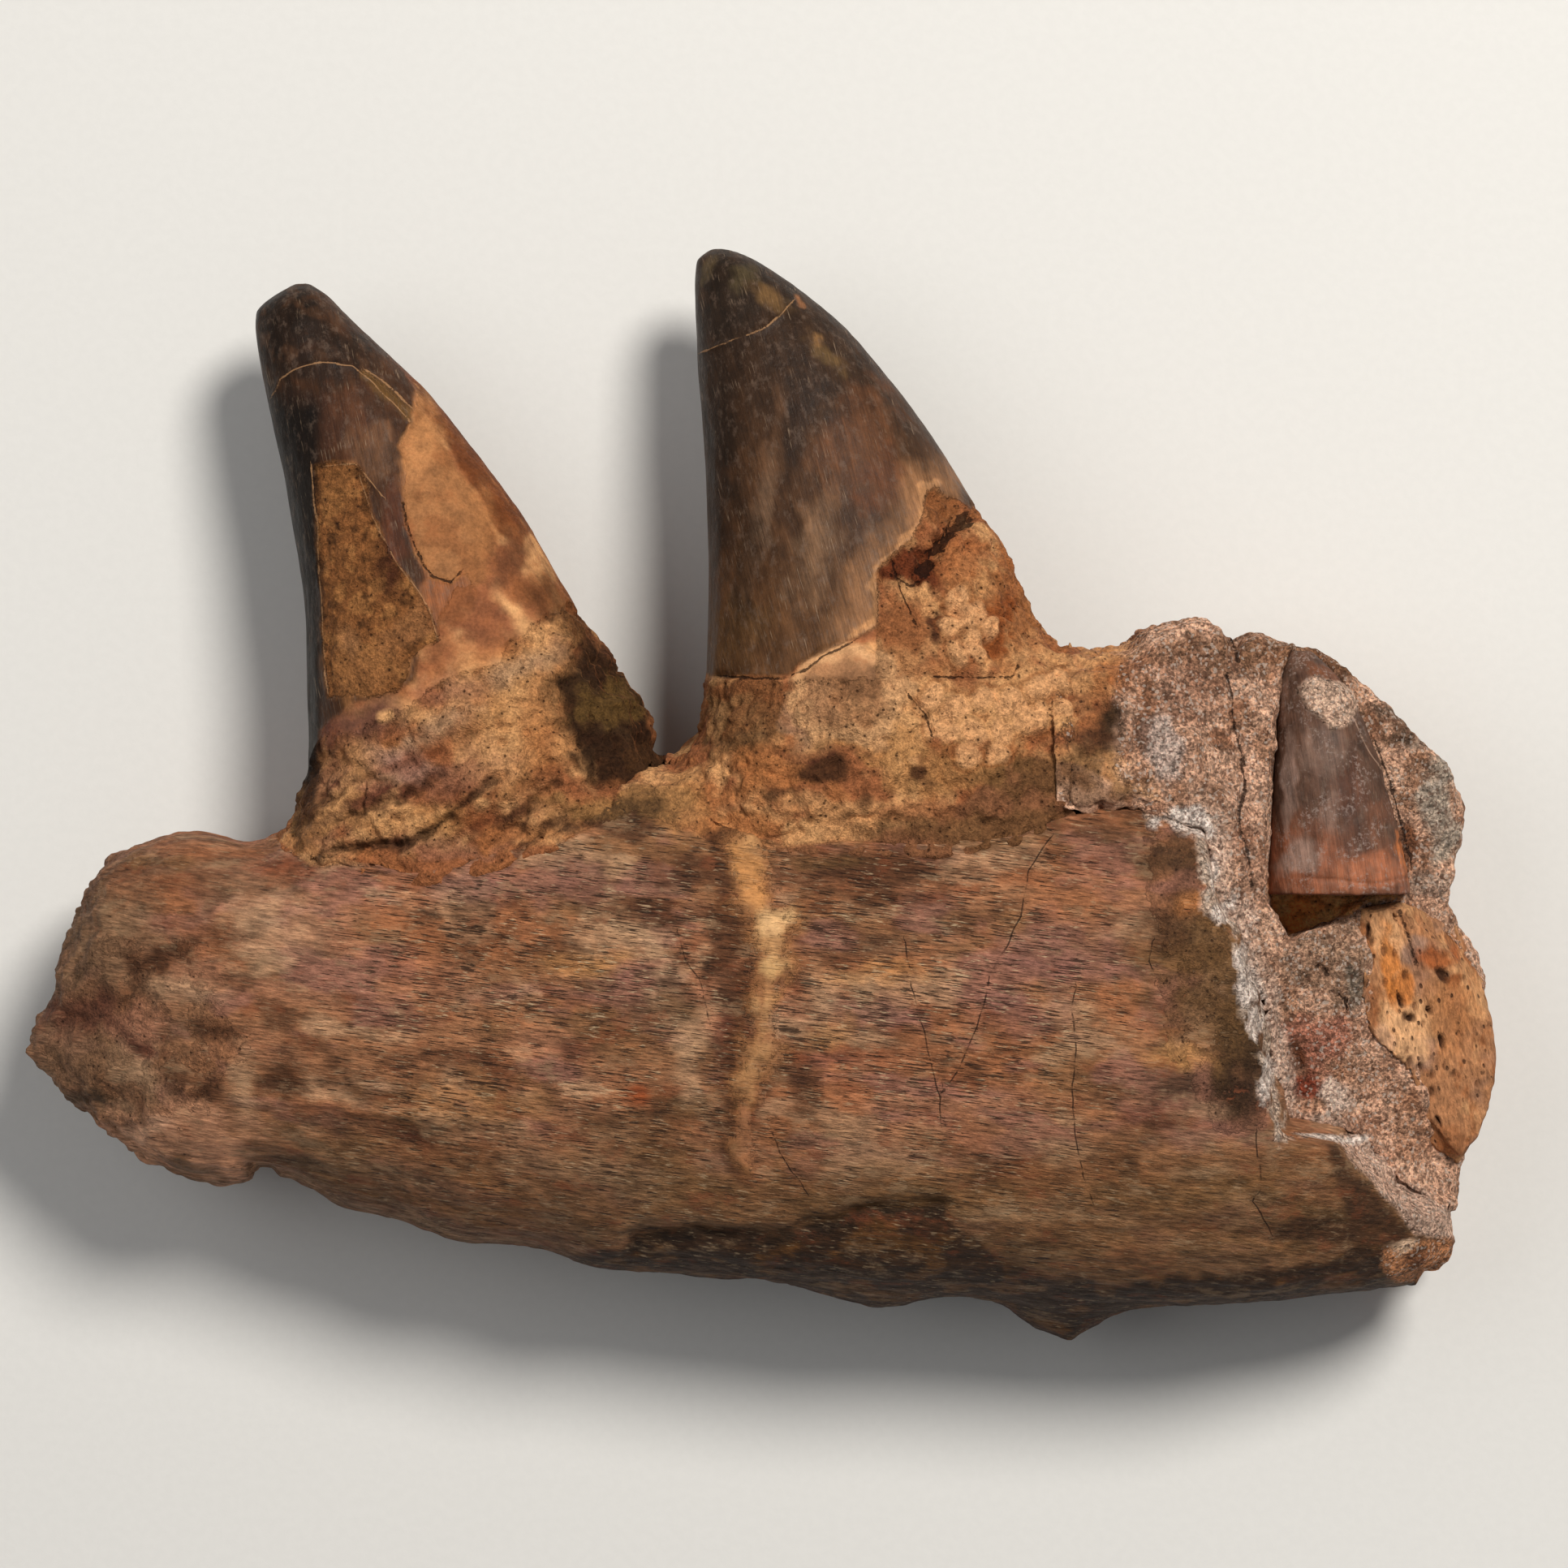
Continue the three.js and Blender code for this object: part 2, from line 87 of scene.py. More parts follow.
def smooth_noise(points, size, seed):
    """Smooth noise from -1 to 1 with features of the given size."""
    table = np.random.default_rng(seed).uniform(-1, 1, (LATTICE,) * 3).astype(np.float32)
    place = points / size + LIFT
    corner = np.floor(place).astype(int)
    part = place - corner
    part = part * part * (3 - 2 * part)
    total = np.zeros(len(points))
    for x in (0, 1):
        for y in (0, 1):
            for z in (0, 1):
                at = (corner + (x, y, z)) % LATTICE
                near_x, near_y, near_z = np.abs((1 - x, 1 - y, 1 - z) - part).T
                total += near_x * near_y * near_z * table[at[:, 0], at[:, 1], at[:, 2]]
    return total


def layered_noise(points, size, seed, layers=3):
    """Smooth noise with finer and fainter layers on it, from about -1 to 1."""
    total = sum(smooth_noise(points, size / 2**k, seed + 101 * k) / 2**k for k in range(layers))
    return total / 1.3


def cell_distance(points, size, seed):
    """Distance to the nearest of many scattered points, in their spacing, and that point's own chance."""
    rng = np.random.default_rng(seed)
    shift = rng.random((LATTICE, LATTICE, LATTICE, 3)).astype(np.float32)
    chance = rng.random((LATTICE, LATTICE, LATTICE)).astype(np.float32)
    place = points / size + LIFT
    corner = np.floor(place).astype(int)
    nearest = np.full(len(points), 9.0)
    luck = np.zeros(len(points))
    for x in (-1, 0, 1):
        for y in (-1, 0, 1):
            for z in (-1, 0, 1):
                cell = corner + (x, y, z)
                at = cell % LATTICE
                gap = np.linalg.norm(cell + shift[at[:, 0], at[:, 1], at[:, 2]] - place, axis=1)
                closer = gap < nearest
                nearest = np.where(closer, gap, nearest)
                luck = np.where(closer, chance[at[:, 0], at[:, 1], at[:, 2]], luck)
    return nearest, luck


def between(low, high, value):
    """0 below low, 1 above high and smooth between them. low may be above high."""
    part = np.clip((value - low) / (high - low), 0, 1)
    return part * part * (3 - 2 * part)


# ---- Meshes ----

SHARP = math.radians(30)  # CAD edges that bend more than this stay crisp
SHARP_STEP = 0.8  # spacing of the points that mark a sharp edge


def read_vectors(items, name):
    values = np.empty(len(items) * 3, dtype=np.float32)
    items.foreach_get(name, values)
    return values.reshape(-1, 3).astype(float)


def welded(node):
    """The corners in mm and the triangles of a CAD node, with its shared corners joined."""
    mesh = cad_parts[node].data
    co = read_vectors(mesh.vertices, "co") / MM
    _, first, where = np.unique(np.round(co, 3), axis=0, return_index=True, return_inverse=True)
    faces = [[int(where.ravel()[v]) for v in face.vertices] for face in mesh.polygons]
    return co[first], [face for face in faces if len(set(face)) == len(face)]


def mesh_of(name, co, faces):
    mesh = bpy.data.meshes.new(name)
    mesh.from_pydata((co * MM).tolist(), [], faces)
    mesh.update()
    return mesh


def sharp_points(co, faces):
    """Points along the sharp edges of a mesh, in mm."""
    normals = {}
    for face in faces:
        a, b, c = co[face[:3]]
        across = np.cross(b - a, c - a)
        across /= np.linalg.norm(across) + 1e-12
        for i, j in zip(face, face[1:] + face[:1]):
            normals.setdefault((min(i, j), max(i, j)), []).append(across)
    found = []
    for (i, j), pair in normals.items():
        if len(pair) == 2 and pair[0] @ pair[1] < math.cos(SHARP):
            steps = max(2, int(np.linalg.norm(co[j] - co[i]) / SHARP_STEP) + 1)
            found.extend(co[i] + (co[j] - co[i]) * part for part in np.linspace(0, 1, steps))
    return found


def modified(mesh, kind, group=None, **settings):
    """A new mesh made from a mesh by one modifier. group is a vertex group's weights."""
    carrier = bpy.data.objects.new("carrier", mesh)
    bpy.context.scene.collection.objects.link(carrier)
    modifier = carrier.modifiers.new("change", kind)
    if group is not None:
        members = carrier.vertex_groups.new(name="members")
        members.add(np.flatnonzero(group).tolist(), 1.0, "REPLACE")
        modifier.vertex_group = members.name
    for name, value in settings.items():
        setattr(modifier, name, value)
    graph = bpy.context.evaluated_depsgraph_get()
    made = bpy.data.meshes.new_from_object(carrier.evaluated_get(graph))
    bpy.data.objects.remove(carrier)
    bpy.data.meshes.remove(mesh)
    return made


def relaxed(co, edges, passes, give):
    """Points moved towards the middle of their neighbours, pass after pass, by their share of give."""
    co = co.copy()
    count = len(co)
    first, second = edges.T
    links = np.maximum(np.bincount(edges.ravel(), minlength=count), 1)[:, None]
    give = np.broadcast_to(give, count)[:, None]
    for _ in range(passes):
        total = np.stack([
            np.bincount(first, co[second, axis], count) + np.bincount(second, co[first, axis], count)
            for axis in range(3)
        ], axis=1)
        co += (total / links - co) * give
    return co


def edges_of(mesh):
    ends = np.empty(len(mesh.edges) * 2, dtype=np.int32)
    mesh.edges.foreach_get("vertices", ends)
    return ends.reshape(-1, 2)


def nearest_on(tree, points, reach):
    """The nearest points of a tree of faces, and how far they are. Past reach, a point stays in place."""
    found = points.copy()
    gaps = np.full(len(points), float(reach))
    for index, point in enumerate(points):
        place, _, _, gap = tree.find_nearest(point, reach)
        if place is not None:
            found[index] = place
            gaps[index] = gap
    return found, gaps


# ---- One skin over the whole fossil ----

SKIN_GROWTH = 0.25  # the solids grow this much so that they meet across the gaps between them
SKIN_VOXEL = 0.9
SKIN_PASSES = 22


def tree_of(nodes):
    """A tree of the faces of some CAD nodes, in mm."""
    corners, faces = joined(nodes, 0)
    return BVHTree.FromPolygons(corners.tolist(), faces)


def joined(nodes, growth):
    """The corners and faces of some CAD nodes together, each grown outwards."""
    corners, faces = [], []
    for node in nodes:
        co, own = welded(node)
        mesh = mesh_of("grown", co, own)
        start = sum(len(part) for part in corners)
        corners.append(co + growth * read_vectors(mesh.vertex_normals, "vector"))
        faces.extend([start + v for v in face] for face in own)
        bpy.data.meshes.remove(mesh)
    return np.concatenate(corners), faces


def build_skin():
    """A smooth closed skin over all the pieces together, as a tree of its faces."""
    corners, faces = joined(list(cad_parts), SKIN_GROWTH)
    mesh = modified(mesh_of("skin", corners, faces), "REMESH", mode="VOXEL", voxel_size=SKIN_VOXEL * MM)
    co = relaxed(read_vectors(mesh.vertices, "co") / MM, edges_of(mesh), SKIN_PASSES, 0.6)
    tree = BVHTree.FromPolygons(co.tolist(), [tuple(face.vertices) for face in mesh.polygons])
    bpy.data.meshes.remove(mesh)
    return tree


skin = build_skin()
SKIN_DEEP = 6.0  # further than this below the skin nothing is measured


# ---- Fine copies of the CAD solids ----

HIDDEN_DEPTH = 2.6  # deeper than this below the skin a surface is hidden in the fossil
HIDDEN_SHARE = 0.06  # of a hidden surface's faces that are kept
FUSE_REACH, FUSE_FULL = 4.5, 1.6  # how far from its neighbour a surface is drawn onto the skin, and fully
FUSE_DEPTH, FUSE_DEPTH_FULL = 5.0, 3.0  # how deep a surface is drawn up to the skin, and fully
FUSE_LAP = 0.5  # how far grown-together pieces reach into each other
LAP_REACH = (1.3, 0.6)  # mm from the neighbour where that starts, and where it is full
RICHER = (1.03, 0.93, 0.83)  # makes up for the colour that the pale studio's sheen takes away
BREAK_X = 1440  # pixels; right of this the jaw is broken away from the sandstone
ROOT_TOP, ROOT_LEFT = (1095, 1130), (1620, 1660)  # pixels; past these the spongy root is in the rock


class Surface:
    """A fine copy of a CAD node that is shaped and painted by vertex."""

    def __init__(self, node, voxel, passes, crisp, grown_to=()):
        corners, faces = welded(node)
        self.mesh = modified(mesh_of(node, corners, faces), "REMESH", mode="VOXEL", voxel_size=voxel * MM)
        self.thin_hidden()
        self.piece = bpy.data.objects.new(node + "_surface", self.mesh)
        self.mesh.name = node + "_surface"
        bpy.context.scene.collection.objects.link(self.piece)
        self.co = read_vectors(self.mesh.vertices, "co") / MM
        self.edges = edges_of(self.mesh)
        self.relax(passes, 0.75 * self.away_from_sharp(sharp_points(corners, faces), crisp))
        self.fused = np.zeros(len(self.co))
        self.gap = np.full(len(self.co), FUSE_REACH)
        self.update()
        if grown_to:
            self.fuse(grown_to)

    def thin_hidden(self):
        """Leaves few faces where the surface is deep inside the fossil."""
        co = read_vectors(self.mesh.vertices, "co") / MM
        hidden = nearest_on(skin, co, HIDDEN_DEPTH)[1] >= HIDDEN_DEPTH
        share = 1 - (1 - HIDDEN_SHARE) * hidden.mean()
        self.mesh = modified(self.mesh, "DECIMATE", hidden, ratio=float(share))

    def away_from_sharp(self, marks, reach):
        """Near 0 on the CAD's sharp edges, rising to 1 at that distance from them."""
        if not marks:
            return np.ones(len(self.co))
        tree = KDTree(len(marks))
        for index, mark in enumerate(marks):
            tree.insert(mark, index)
        tree.balance()
        gaps = np.array([tree.find(point)[2] for point in self.co])
        return 0.08 + 0.92 * between(0, reach, gaps)

    def relax(self, passes, give):
        self.co = relaxed(self.co, self.edges, passes, give)

    def fuse(self, neighbours):
        """Draws the surface near its neighbours onto the skin and a little into them, so that they join."""
        self.gap = nearest_on(tree_of(neighbours), self.co, FUSE_REACH)[1]
        left_of_break = between(BREAK_X + 25, BREAK_X - 10, self.right)
        beside_root = between(*ROOT_TOP, self.down) * between(*ROOT_LEFT, self.right)
        grown = np.maximum(left_of_break, beside_root)
        near = between(FUSE_REACH, FUSE_FULL, self.gap) * grown
        self.co += self.normal * (FUSE_LAP * between(*LAP_REACH, self.gap) * grown)[:, None]
        target, depth = nearest_on(skin, self.co, SKIN_DEEP)
        self.fused = near * between(FUSE_DEPTH, FUSE_DEPTH_FULL, depth)
        self.co += (target - self.co) * self.fused[:, None]
        self.relax(6, 0.5 * self.fused)
        self.update()

    def overlap(self, neighbour, lap):
        """Grows the surface over the gap to a neighbour."""
        gap = nearest_on(tree_of([neighbour]), self.co, FUSE_REACH)[1]
        self.push(lap * between(1.6, 0.6, gap))

    def update(self):
        """Writes the vertices back, and reads the new normals and places in the picture."""
        self.mesh.vertices.foreach_set("co", (self.co * MM).astype(np.float32).ravel())
        self.mesh.update()
        self.normal = read_vectors(self.mesh.vertex_normals, "vector")
        self.spot = picture_of(self.co)
        self.right, self.down = self.spot.T
        self.up = np.maximum(between(-0.1, 0.35, self.normal[:, 2]), self.fused)
        self.warped = self.wobbled(14, 5, 600)
        self.ragged = layered_noise(self.co, 2.2, 640, 3)

    def push(self, amount):
        """Moves the surface outwards by amount, in mm."""
        self.co += self.normal * np.asarray(amount)[:, None]
        self.co[:, 2] = np.maximum(self.co[:, 2], 0)
        self.update()

    def noise(self, size, seed, layers=3, stretch=(1, 1, 1), turn=0.0):
        """Layered noise over the surface, drawn out along X, Y and Z and turned about Z in degrees."""
        angle = math.radians(turn)
        cos, sin = math.cos(angle), math.sin(angle)
        x, y, z = self.co.T
        turned = np.stack([x * cos + y * sin, y * cos - x * sin, z], axis=1) / stretch
        return layered_noise(turned, size, seed, layers)

    def wobbled(self, amount, size, seed):
        """Places in the picture, shifted by up to amount pixels so that drawn borders wander."""
        shift = [layered_noise(self.co, size, seed + k, 3) for k in (0, 50)]
        return self.spot + amount * np.stack(shift, axis=1)

    def across(self, points, wobble=2.0, size=3.0, seed=900):
        """Signed distance in mm across a line drawn through pixels of the picture, on the upper face."""
        gap = line_offset(self.wobbled(wobble, size, seed), points) * PIXEL
        return np.where(self.up > 0.3, gap, 9.0)

    def line(self, points, wobble=2.0, size=3.0, seed=900):
        return np.abs(self.across(points, wobble, size, seed))

    def groove(self, points, depth, width, wobble=2.0, size=3.0):
        """A groove along a line: its depth at each place, in mm."""
        return depth * np.exp(-(self.line(points, wobble, size) / width) ** 2)

    def region(self, outline, wobble=5.0, size=3.5, seed=700):
        """Signed distance in mm from the border of a region of the picture: positive inside it."""
        spots = self.wobbled(wobble, size, seed)
        closed = list(outline) + [outline[0]]
        return np.abs(line_offset(spots, closed)) * PIXEL * np.where(is_inside(spots, closed), 1, -1)

    def over(self, border, wobble=5.0, size=3.5, seed=700):
        """Signed distance in mm above a border that runs across the picture from left to right."""
        spots = self.wobbled(wobble, size, seed)
        return (np.interp(spots[:, 0], *np.array(border, dtype=float).T) - spots[:, 1]) * PIXEL

    def disc(self, x, y, wide, tall=None, turn=0.0):
        """1 at the middle of an oval, 0 on its border and negative outside. Its sizes are radii."""
        angle = math.radians(turn)
        right, down = (self.warped - (x, y)).T
        along = right * math.cos(angle) - down * math.sin(angle)
        across = right * math.sin(angle) + down * math.cos(angle)
        return 1 - np.hypot(along / wide, across / (tall or wide))

    def blob(self, x, y, wide, tall=None, turn=0.0):
        """A soft spot on the picture's upper face: 1 at its middle, fading out at about its radii."""
        return np.exp(-1.2 * (1 - self.disc(x, y, wide, tall, turn)) ** 2) * self.up

    def start_paint(self, colour):
        self.tint = np.tile(linear(colour), (len(self.co), 1))

    def paint(self, colour, share):
        """Covers the surface with a colour by its share, from 0 to 1."""
        share = np.clip(share, 0, 1)[:, None]
        self.tint = self.tint * (1 - share) + linear(colour) * share

    def stain(self, colour, share, low, high, *grain):
        """Paints cloudy stains where noise is above low, and fully above high. low may be above high."""
        self.paint(colour, share * between(low, high, self.noise(*grain)))

    def dab(self, dabs, soft=0.35):
        """Paints ragged stains, and also some painted shade and highlights: rows of (colour, share, x, y,
        radius across, radius down, turn).
        """
        for colour, share, *place in dabs:
            inside = between(-soft, soft, self.disc(*place) + 0.6 * self.ragged)
            self.paint(colour, 1.2 * share * inside * self.up)

    def keep(self, name, values):
        """Stores a number for each vertex for the material to read."""
        stored = self.mesh.attributes.new(name, "FLOAT", "POINT")
        stored.data.foreach_set("value", values.astype(np.float32))

    def keep_lines(self, name, lines, also=9.0, wobble=2.0, size=3.0):
        """Stores how far the nearest of some lines is, and the same with a sign for the line's side."""
        gaps = np.stack([self.across(points, wobble, size) for points in lines])
        nearest = gaps[np.abs(gaps).argmin(axis=0), np.arange(len(self.co))]
        self.keep(name, np.minimum(np.abs(nearest), also))
        self.keep(name + "_across", nearest)

    def finish(self, node, slot, material):
        rgba = np.ones((len(self.co), 4), dtype=np.float32)
        rgba[:, :3] = np.clip(self.tint * RICHER, 0, 1)
        tint = self.mesh.attributes.new("tint", "FLOAT_COLOR", "POINT")
        tint.data.foreach_set("color", rgba.ravel())
        self.mesh.polygons.foreach_set("use_smooth", np.ones(len(self.mesh.polygons), dtype=bool))
        self.mesh.materials.append(material)
        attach(self.piece, "root")
        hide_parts(node)


def line_offset(spots, points):
    """Distance from each spot to a line through the points, negative on one side of the line."""
    points = np.asarray(points, dtype=float)
    best = np.full(len(spots), 1e9)
    for a, b in zip(points[:-1], points[1:]):
        way = b - a
        part = np.clip(((spots - a) @ way) / (way @ way), 0, 1)
        right, down = (spots - a - part[:, None] * way).T
        gap = np.hypot(right, down) * np.where(way[0] * down < way[1] * right, -1, 1)
        best = np.where(np.abs(gap) < np.abs(best), gap, best)
    return best


def is_inside(spots, closed):
    """Whether each spot is inside a closed outline."""
    inside = np.zeros(len(spots), dtype=bool)
    for (ax, ay), (bx, by) in zip(closed[:-1], closed[1:]):
        if ay != by:
            crosses = (ay > spots[:, 1]) != (by > spots[:, 1])
            inside ^= crosses & (spots[:, 0] < ax + (bx - ax) * (spots[:, 1] - ay) / (by - ay))
    return inside


def linear(colour):
    """A display colour, 0 to 255, as the linear colour that shaders use."""
    part = np.asarray(colour) / 255
    return np.where(part <= 0.04045, part / 12.92, ((part + 0.055) / 1.055) ** 2.4)


# ---- Shader building ----

GRAIN_TURN = -7.0  # the bone's fibres fall this many degrees to the right
HAIR = 0.1  # half of the width of the thinnest drawn lines, in mm
LOW_NOISE, HIGH_NOISE = 0.3, 0.7  # nearly all of a noise texture lies between them


class Look:
    """A material made of nodes. Its patterns are in mm, fixed to the object.

    A style is a (colour, roughness, height) triple of links, with the height in mm.
    """

    def __init__(self, name):
        self.material = bpy.data.materials.new(name)
        self.material.use_nodes = True
        self.tree = self.material.node_tree
        self.surface = self.tree.nodes["Principled BSDF"]
        place = self.tree.nodes.new("ShaderNodeTexCoord")
        self.place = self.node("ShaderNodeVectorMath", "Vector",
                               {0: place.outputs["Object"], 1: (1 / MM,) * 3}, operation="MULTIPLY")

    def node(self, kind, output, inputs=None, **settings):
        """Adds a node, sets or links its inputs, and gives one of its outputs."""
        node = self.tree.nodes.new(kind)
        for name, value in settings.items():
            setattr(node, name, value)
        for name, value in (inputs or {}).items():
            if isinstance(value, bpy.types.NodeSocket):
                self.tree.links.new(value, node.inputs[name])
            else:
                node.inputs[name].default_value = value
        return node.outputs[output]

    def stretched(self, stretch, turn):
        """Places drawn out by stretch along X, Y and Z, turned about Z in degrees."""
        turned = self.node("ShaderNodeVectorRotate", "Vector",
                           {"Vector": self.place, "Angle": -math.radians(turn)}, rotation_type="Z_AXIS")
        return self.node("ShaderNodeVectorMath", "Vector", {0: turned, 1: stretch}, operation="DIVIDE")

    def noise(self, size, detail=3.0, rough=0.55, stretch=None, turn=0.0):
        place = self.stretched(stretch, turn) if stretch else self.place
        return self.node("ShaderNodeTexNoise", "Fac", {
            "Vector": place, "Scale": 1 / size, "Detail": detail, "Roughness": rough,
        })

    def cells(self, size, output="Distance", stretch=None, turn=0.0):
        place = self.stretched(stretch, turn) if stretch else self.place
        return self.node("ShaderNodeTexVoronoi", output, {"Vector": place, "Scale": 1 / size})

    def chance(self, size, channel="Red"):
        """A number from 0 to 1 for each of many small cells."""
        return self.node("ShaderNodeSeparateColor", channel, {"Color": self.cells(size, "Color")})

    def tint(self):
        return self.node("ShaderNodeAttribute", "Color", attribute_name="tint")

    def number(self, name):
        return self.node("ShaderNodeAttribute", "Fac", attribute_name=name)

    def ramp(self, value, low, high, first=0.0, last=1.0):
        """first below low, last above high, and smooth between them. low may be above high."""
        return self.node("ShaderNodeMapRange", "Result", {
            "Value": value, "From Min": low, "From Max": high, "To Min": first, "To Max": last,
        }, interpolation_type="SMOOTHSTEP")

    def spread(self, noise, first, last):
        """first where a noise is low and last where it is high."""
        return self.ramp(noise, LOW_NOISE, HIGH_NOISE, first, last)

    def math(self, operation, first, second=0.0):
        return self.node("ShaderNodeMath", 0, {0: first, 1: second}, operation=operation)

    def plus(self, *values):
        total = values[0]
        for value in values[1:]:
            total = self.math("ADD", total, value)
        return total

    def times(self, first, second):
        return self.math("MULTIPLY", first, second)

    def mix(self, share, first, second, blend="MIX"):
        """second over first by share. A colour is (r, g, b, 1) or a link."""
        return self.node("ShaderNodeMix", 2, {0: share, 6: first, 7: second},
                         data_type="RGBA", blend_type=blend)

    def over(self, share, base, colour):
        """A display colour laid over a link by share."""
        return self.mix(share, base, (*linear(colour), 1))

    def scaled(self, base, *factors):
        """A link made lighter or darker by factors that are links."""
        for factor in factors:
            base = self.mix(1.0, base, factor, "MULTIPLY")
        return base

    def within(self, name, wander=0.25, size=0.6):
        """1 where the signed distance stored as name is positive, with a ragged border."""
        ragged = self.spread(self.noise(size, 4, 0.65), -wander, wander)
        return self.ramp(self.math("ADD", self.number(name), ragged), -0.06, 0.06)

    def laid(self, share, below, above):
        """One style over another by share."""
        values = [self.node("ShaderNodeMix", 0, {0: share, 2: a, 3: b}, data_type="FLOAT")
                  for a, b in zip(below[1:], above[1:])]
        return (self.mix(share, below[0], above[0]), *values)

    def lined(self, style, name, colour, half_width, depth, share=0.85):
        """A style with ragged lines of a colour along the lines kept as name. A depth cuts them in."""
        near = self.number(name)
        ragged = self.spread(self.noise(1.6, 5, 0.7), -0.8 * half_width, 0.8 * half_width)
        wide = self.ramp(self.math("ADD", near, ragged), half_width, half_width * 0.3)
        hair = self.ramp(self.math("ABSOLUTE", self.number(name + "_across")), HAIR, HAIR * 0.4)
        broken = self.ramp(self.noise(2.2, 3, 0.6), 0.38, 0.56)
        hair = self.times(hair, self.times(self.ramp(near, 0.7, 0.5), broken))
        on = self.math("MAXIMUM", wide, hair)
        height = self.math("SUBTRACT", style[2], self.times(on, depth))
        return self.over(self.times(on, share), style[0], colour), style[1], height

    def done(self, style, specular):
        colour, rough, height = style
        normal = self.node("ShaderNodeBump", "Normal", {"Height": height, "Distance": MM, "Strength": 1.0})
        self.tree.links.new(normal, self.surface.inputs["Normal"])
        self.tree.links.new(colour, self.surface.inputs["Base Color"])
        self.tree.links.new(rough, self.surface.inputs["Roughness"])
        self.surface.inputs["Specular IOR Level"].default_value = specular
        return self.material

    # Styles: what each kind of surface looks like up close.

    def bone(self, tint):
        """Dense bone: fine fibres along the jaw, with thin dark slits and pale flecks in patches."""
        streak = self.noise(0.34, 5, 0.7, (7, 1, 4), GRAIN_TURN)
        mottle = self.noise(2.0, 6, 0.75, (2.2, 1, 1), GRAIN_TURN)
        warm = self.noise(3.4, 5, 0.7, (1.8, 1, 1), GRAIN_TURN)
        slit = self.noise(0.14, 2, 0.5, (20, 1, 5), GRAIN_TURN)
        fleck = self.noise(0.26, 3, 0.6, (6, 1, 4), GRAIN_TURN)
        patch = self.ramp(self.noise(2.6, 4, 0.6), 0.36, 0.64, -0.06, 0.05)
        slit = self.plus(slit, patch, self.ramp(self.number("slits"), 0.0, 1.0, -0.07, 0.05))
        slits = self.ramp(slit, 0.62, 0.68)
        flecks = self.times(self.ramp(self.math("ADD", fleck, patch), 0.58, 0.72, 0, 0.7),
                            self.ramp(self.number("slits"), 0.2, 1.2, 0.3, 1.0))
        colour = self.scaled(tint, self.spread(mottle, 0.66, 1.38), self.spread(streak, 0.54, 1.5))
        colour = self.over(self.ramp(warm, 0.54, 0.7, 0, 0.5), colour, (126, 66, 38))
        colour = self.over(self.ramp(warm, 0.46, 0.32, 0, 0.4), colour, (158, 126, 94))
        colour = self.over(flecks, colour, (194, 166, 130))
        colour = self.over(self.times(slits, 0.85), colour, (42, 25, 15))
        rough = self.spread(streak, 0.8, 0.58)
        height = self.math("SUBTRACT", self.plus(self.times(streak, 0.3), self.times(mottle, 0.5)),
                           self.times(slits, 0.14))
        return colour, rough, height

    def dentine(self, tint):
        """Smooth dentine, softly mottled."""
        mottle = self.noise(2.4, 6, 0.7)
        grain = self.noise(0.4, 4, 0.65)
        colour = self.scaled(tint, self.spread(mottle, 0.72, 1.28), self.spread(grain, 0.84, 1.16))
        colour = self.over(self.ramp(mottle, 0.54, 0.68, 0, 0.4), colour, (138, 82, 46))
        height = self.plus(self.times(mottle, 0.3), self.times(grain, 0.1))
        return colour, self.spread(grain, 0.7, 0.56), height

    def porous(self, tint):
        """Crumbly root bone, full of small pits."""
        crumb = self.noise(1.0, 5, 0.72)
        grain = self.noise(0.32, 3, 0.65)
        pit = self.times(self.ramp(self.cells(0.85), 0.26, 0.12), self.ramp(crumb, 0.52, 0.42))
        colour = self.scaled(tint, self.spread(crumb, 0.62, 1.36), self.spread(grain, 0.74, 1.26))
        colour = self.over(self.times(pit, 0.8), colour, (62, 34, 18))
        height = self.math("SUBTRACT", self.plus(self.times(crumb, 0.9), self.times(grain, 0.2)),
                           self.times(pit, 0.2))
        return colour, self.spread(grain, 0.85, 0.7), height

    def enamel(self, tint, turn):
        """Satin tooth enamel with faint striae, a few pale scratches along the tooth and greyish wear."""
        streak = self.noise(0.2, 4, 0.6, (1, 16, 8), turn)
        band = self.noise(1.3, 4, 0.6, (1, 9, 5), turn)
        mottle = self.noise(2.0, 6, 0.75, (1, 1.6, 1), turn)
        worn = self.ramp(self.noise(1.1, 5, 0.75, (1, 1.8, 1), turn), 0.5, 0.68, 0, 0.32)
        scratch = self.times(self.ramp(self.noise(0.12, 1, 0.4, (1, 30, 15), turn), 0.65, 0.71),
                             self.ramp(self.noise(3.4, 3, 0.6), 0.5, 0.62))
        speck = self.ramp(self.noise(0.2, 3, 0.7), 0.69, 0.74)
        colour = self.scaled(tint, self.spread(streak, 0.78, 1.22), self.spread(band, 0.76, 1.26),
                             self.spread(mottle, 0.74, 1.28))
        colour = self.over(worn, colour, (112, 92, 78))
        colour = self.over(self.times(scratch, 0.32), colour, (168, 142, 116))
        colour = self.over(self.times(speck, 0.3), colour, (140, 112, 86))
        rough = self.spread(mottle, 0.42, 0.58)
        height = self.plus(self.times(streak, 0.04), self.times(band, 0.12), self.times(mottle, 0.16))
        return colour, rough, height

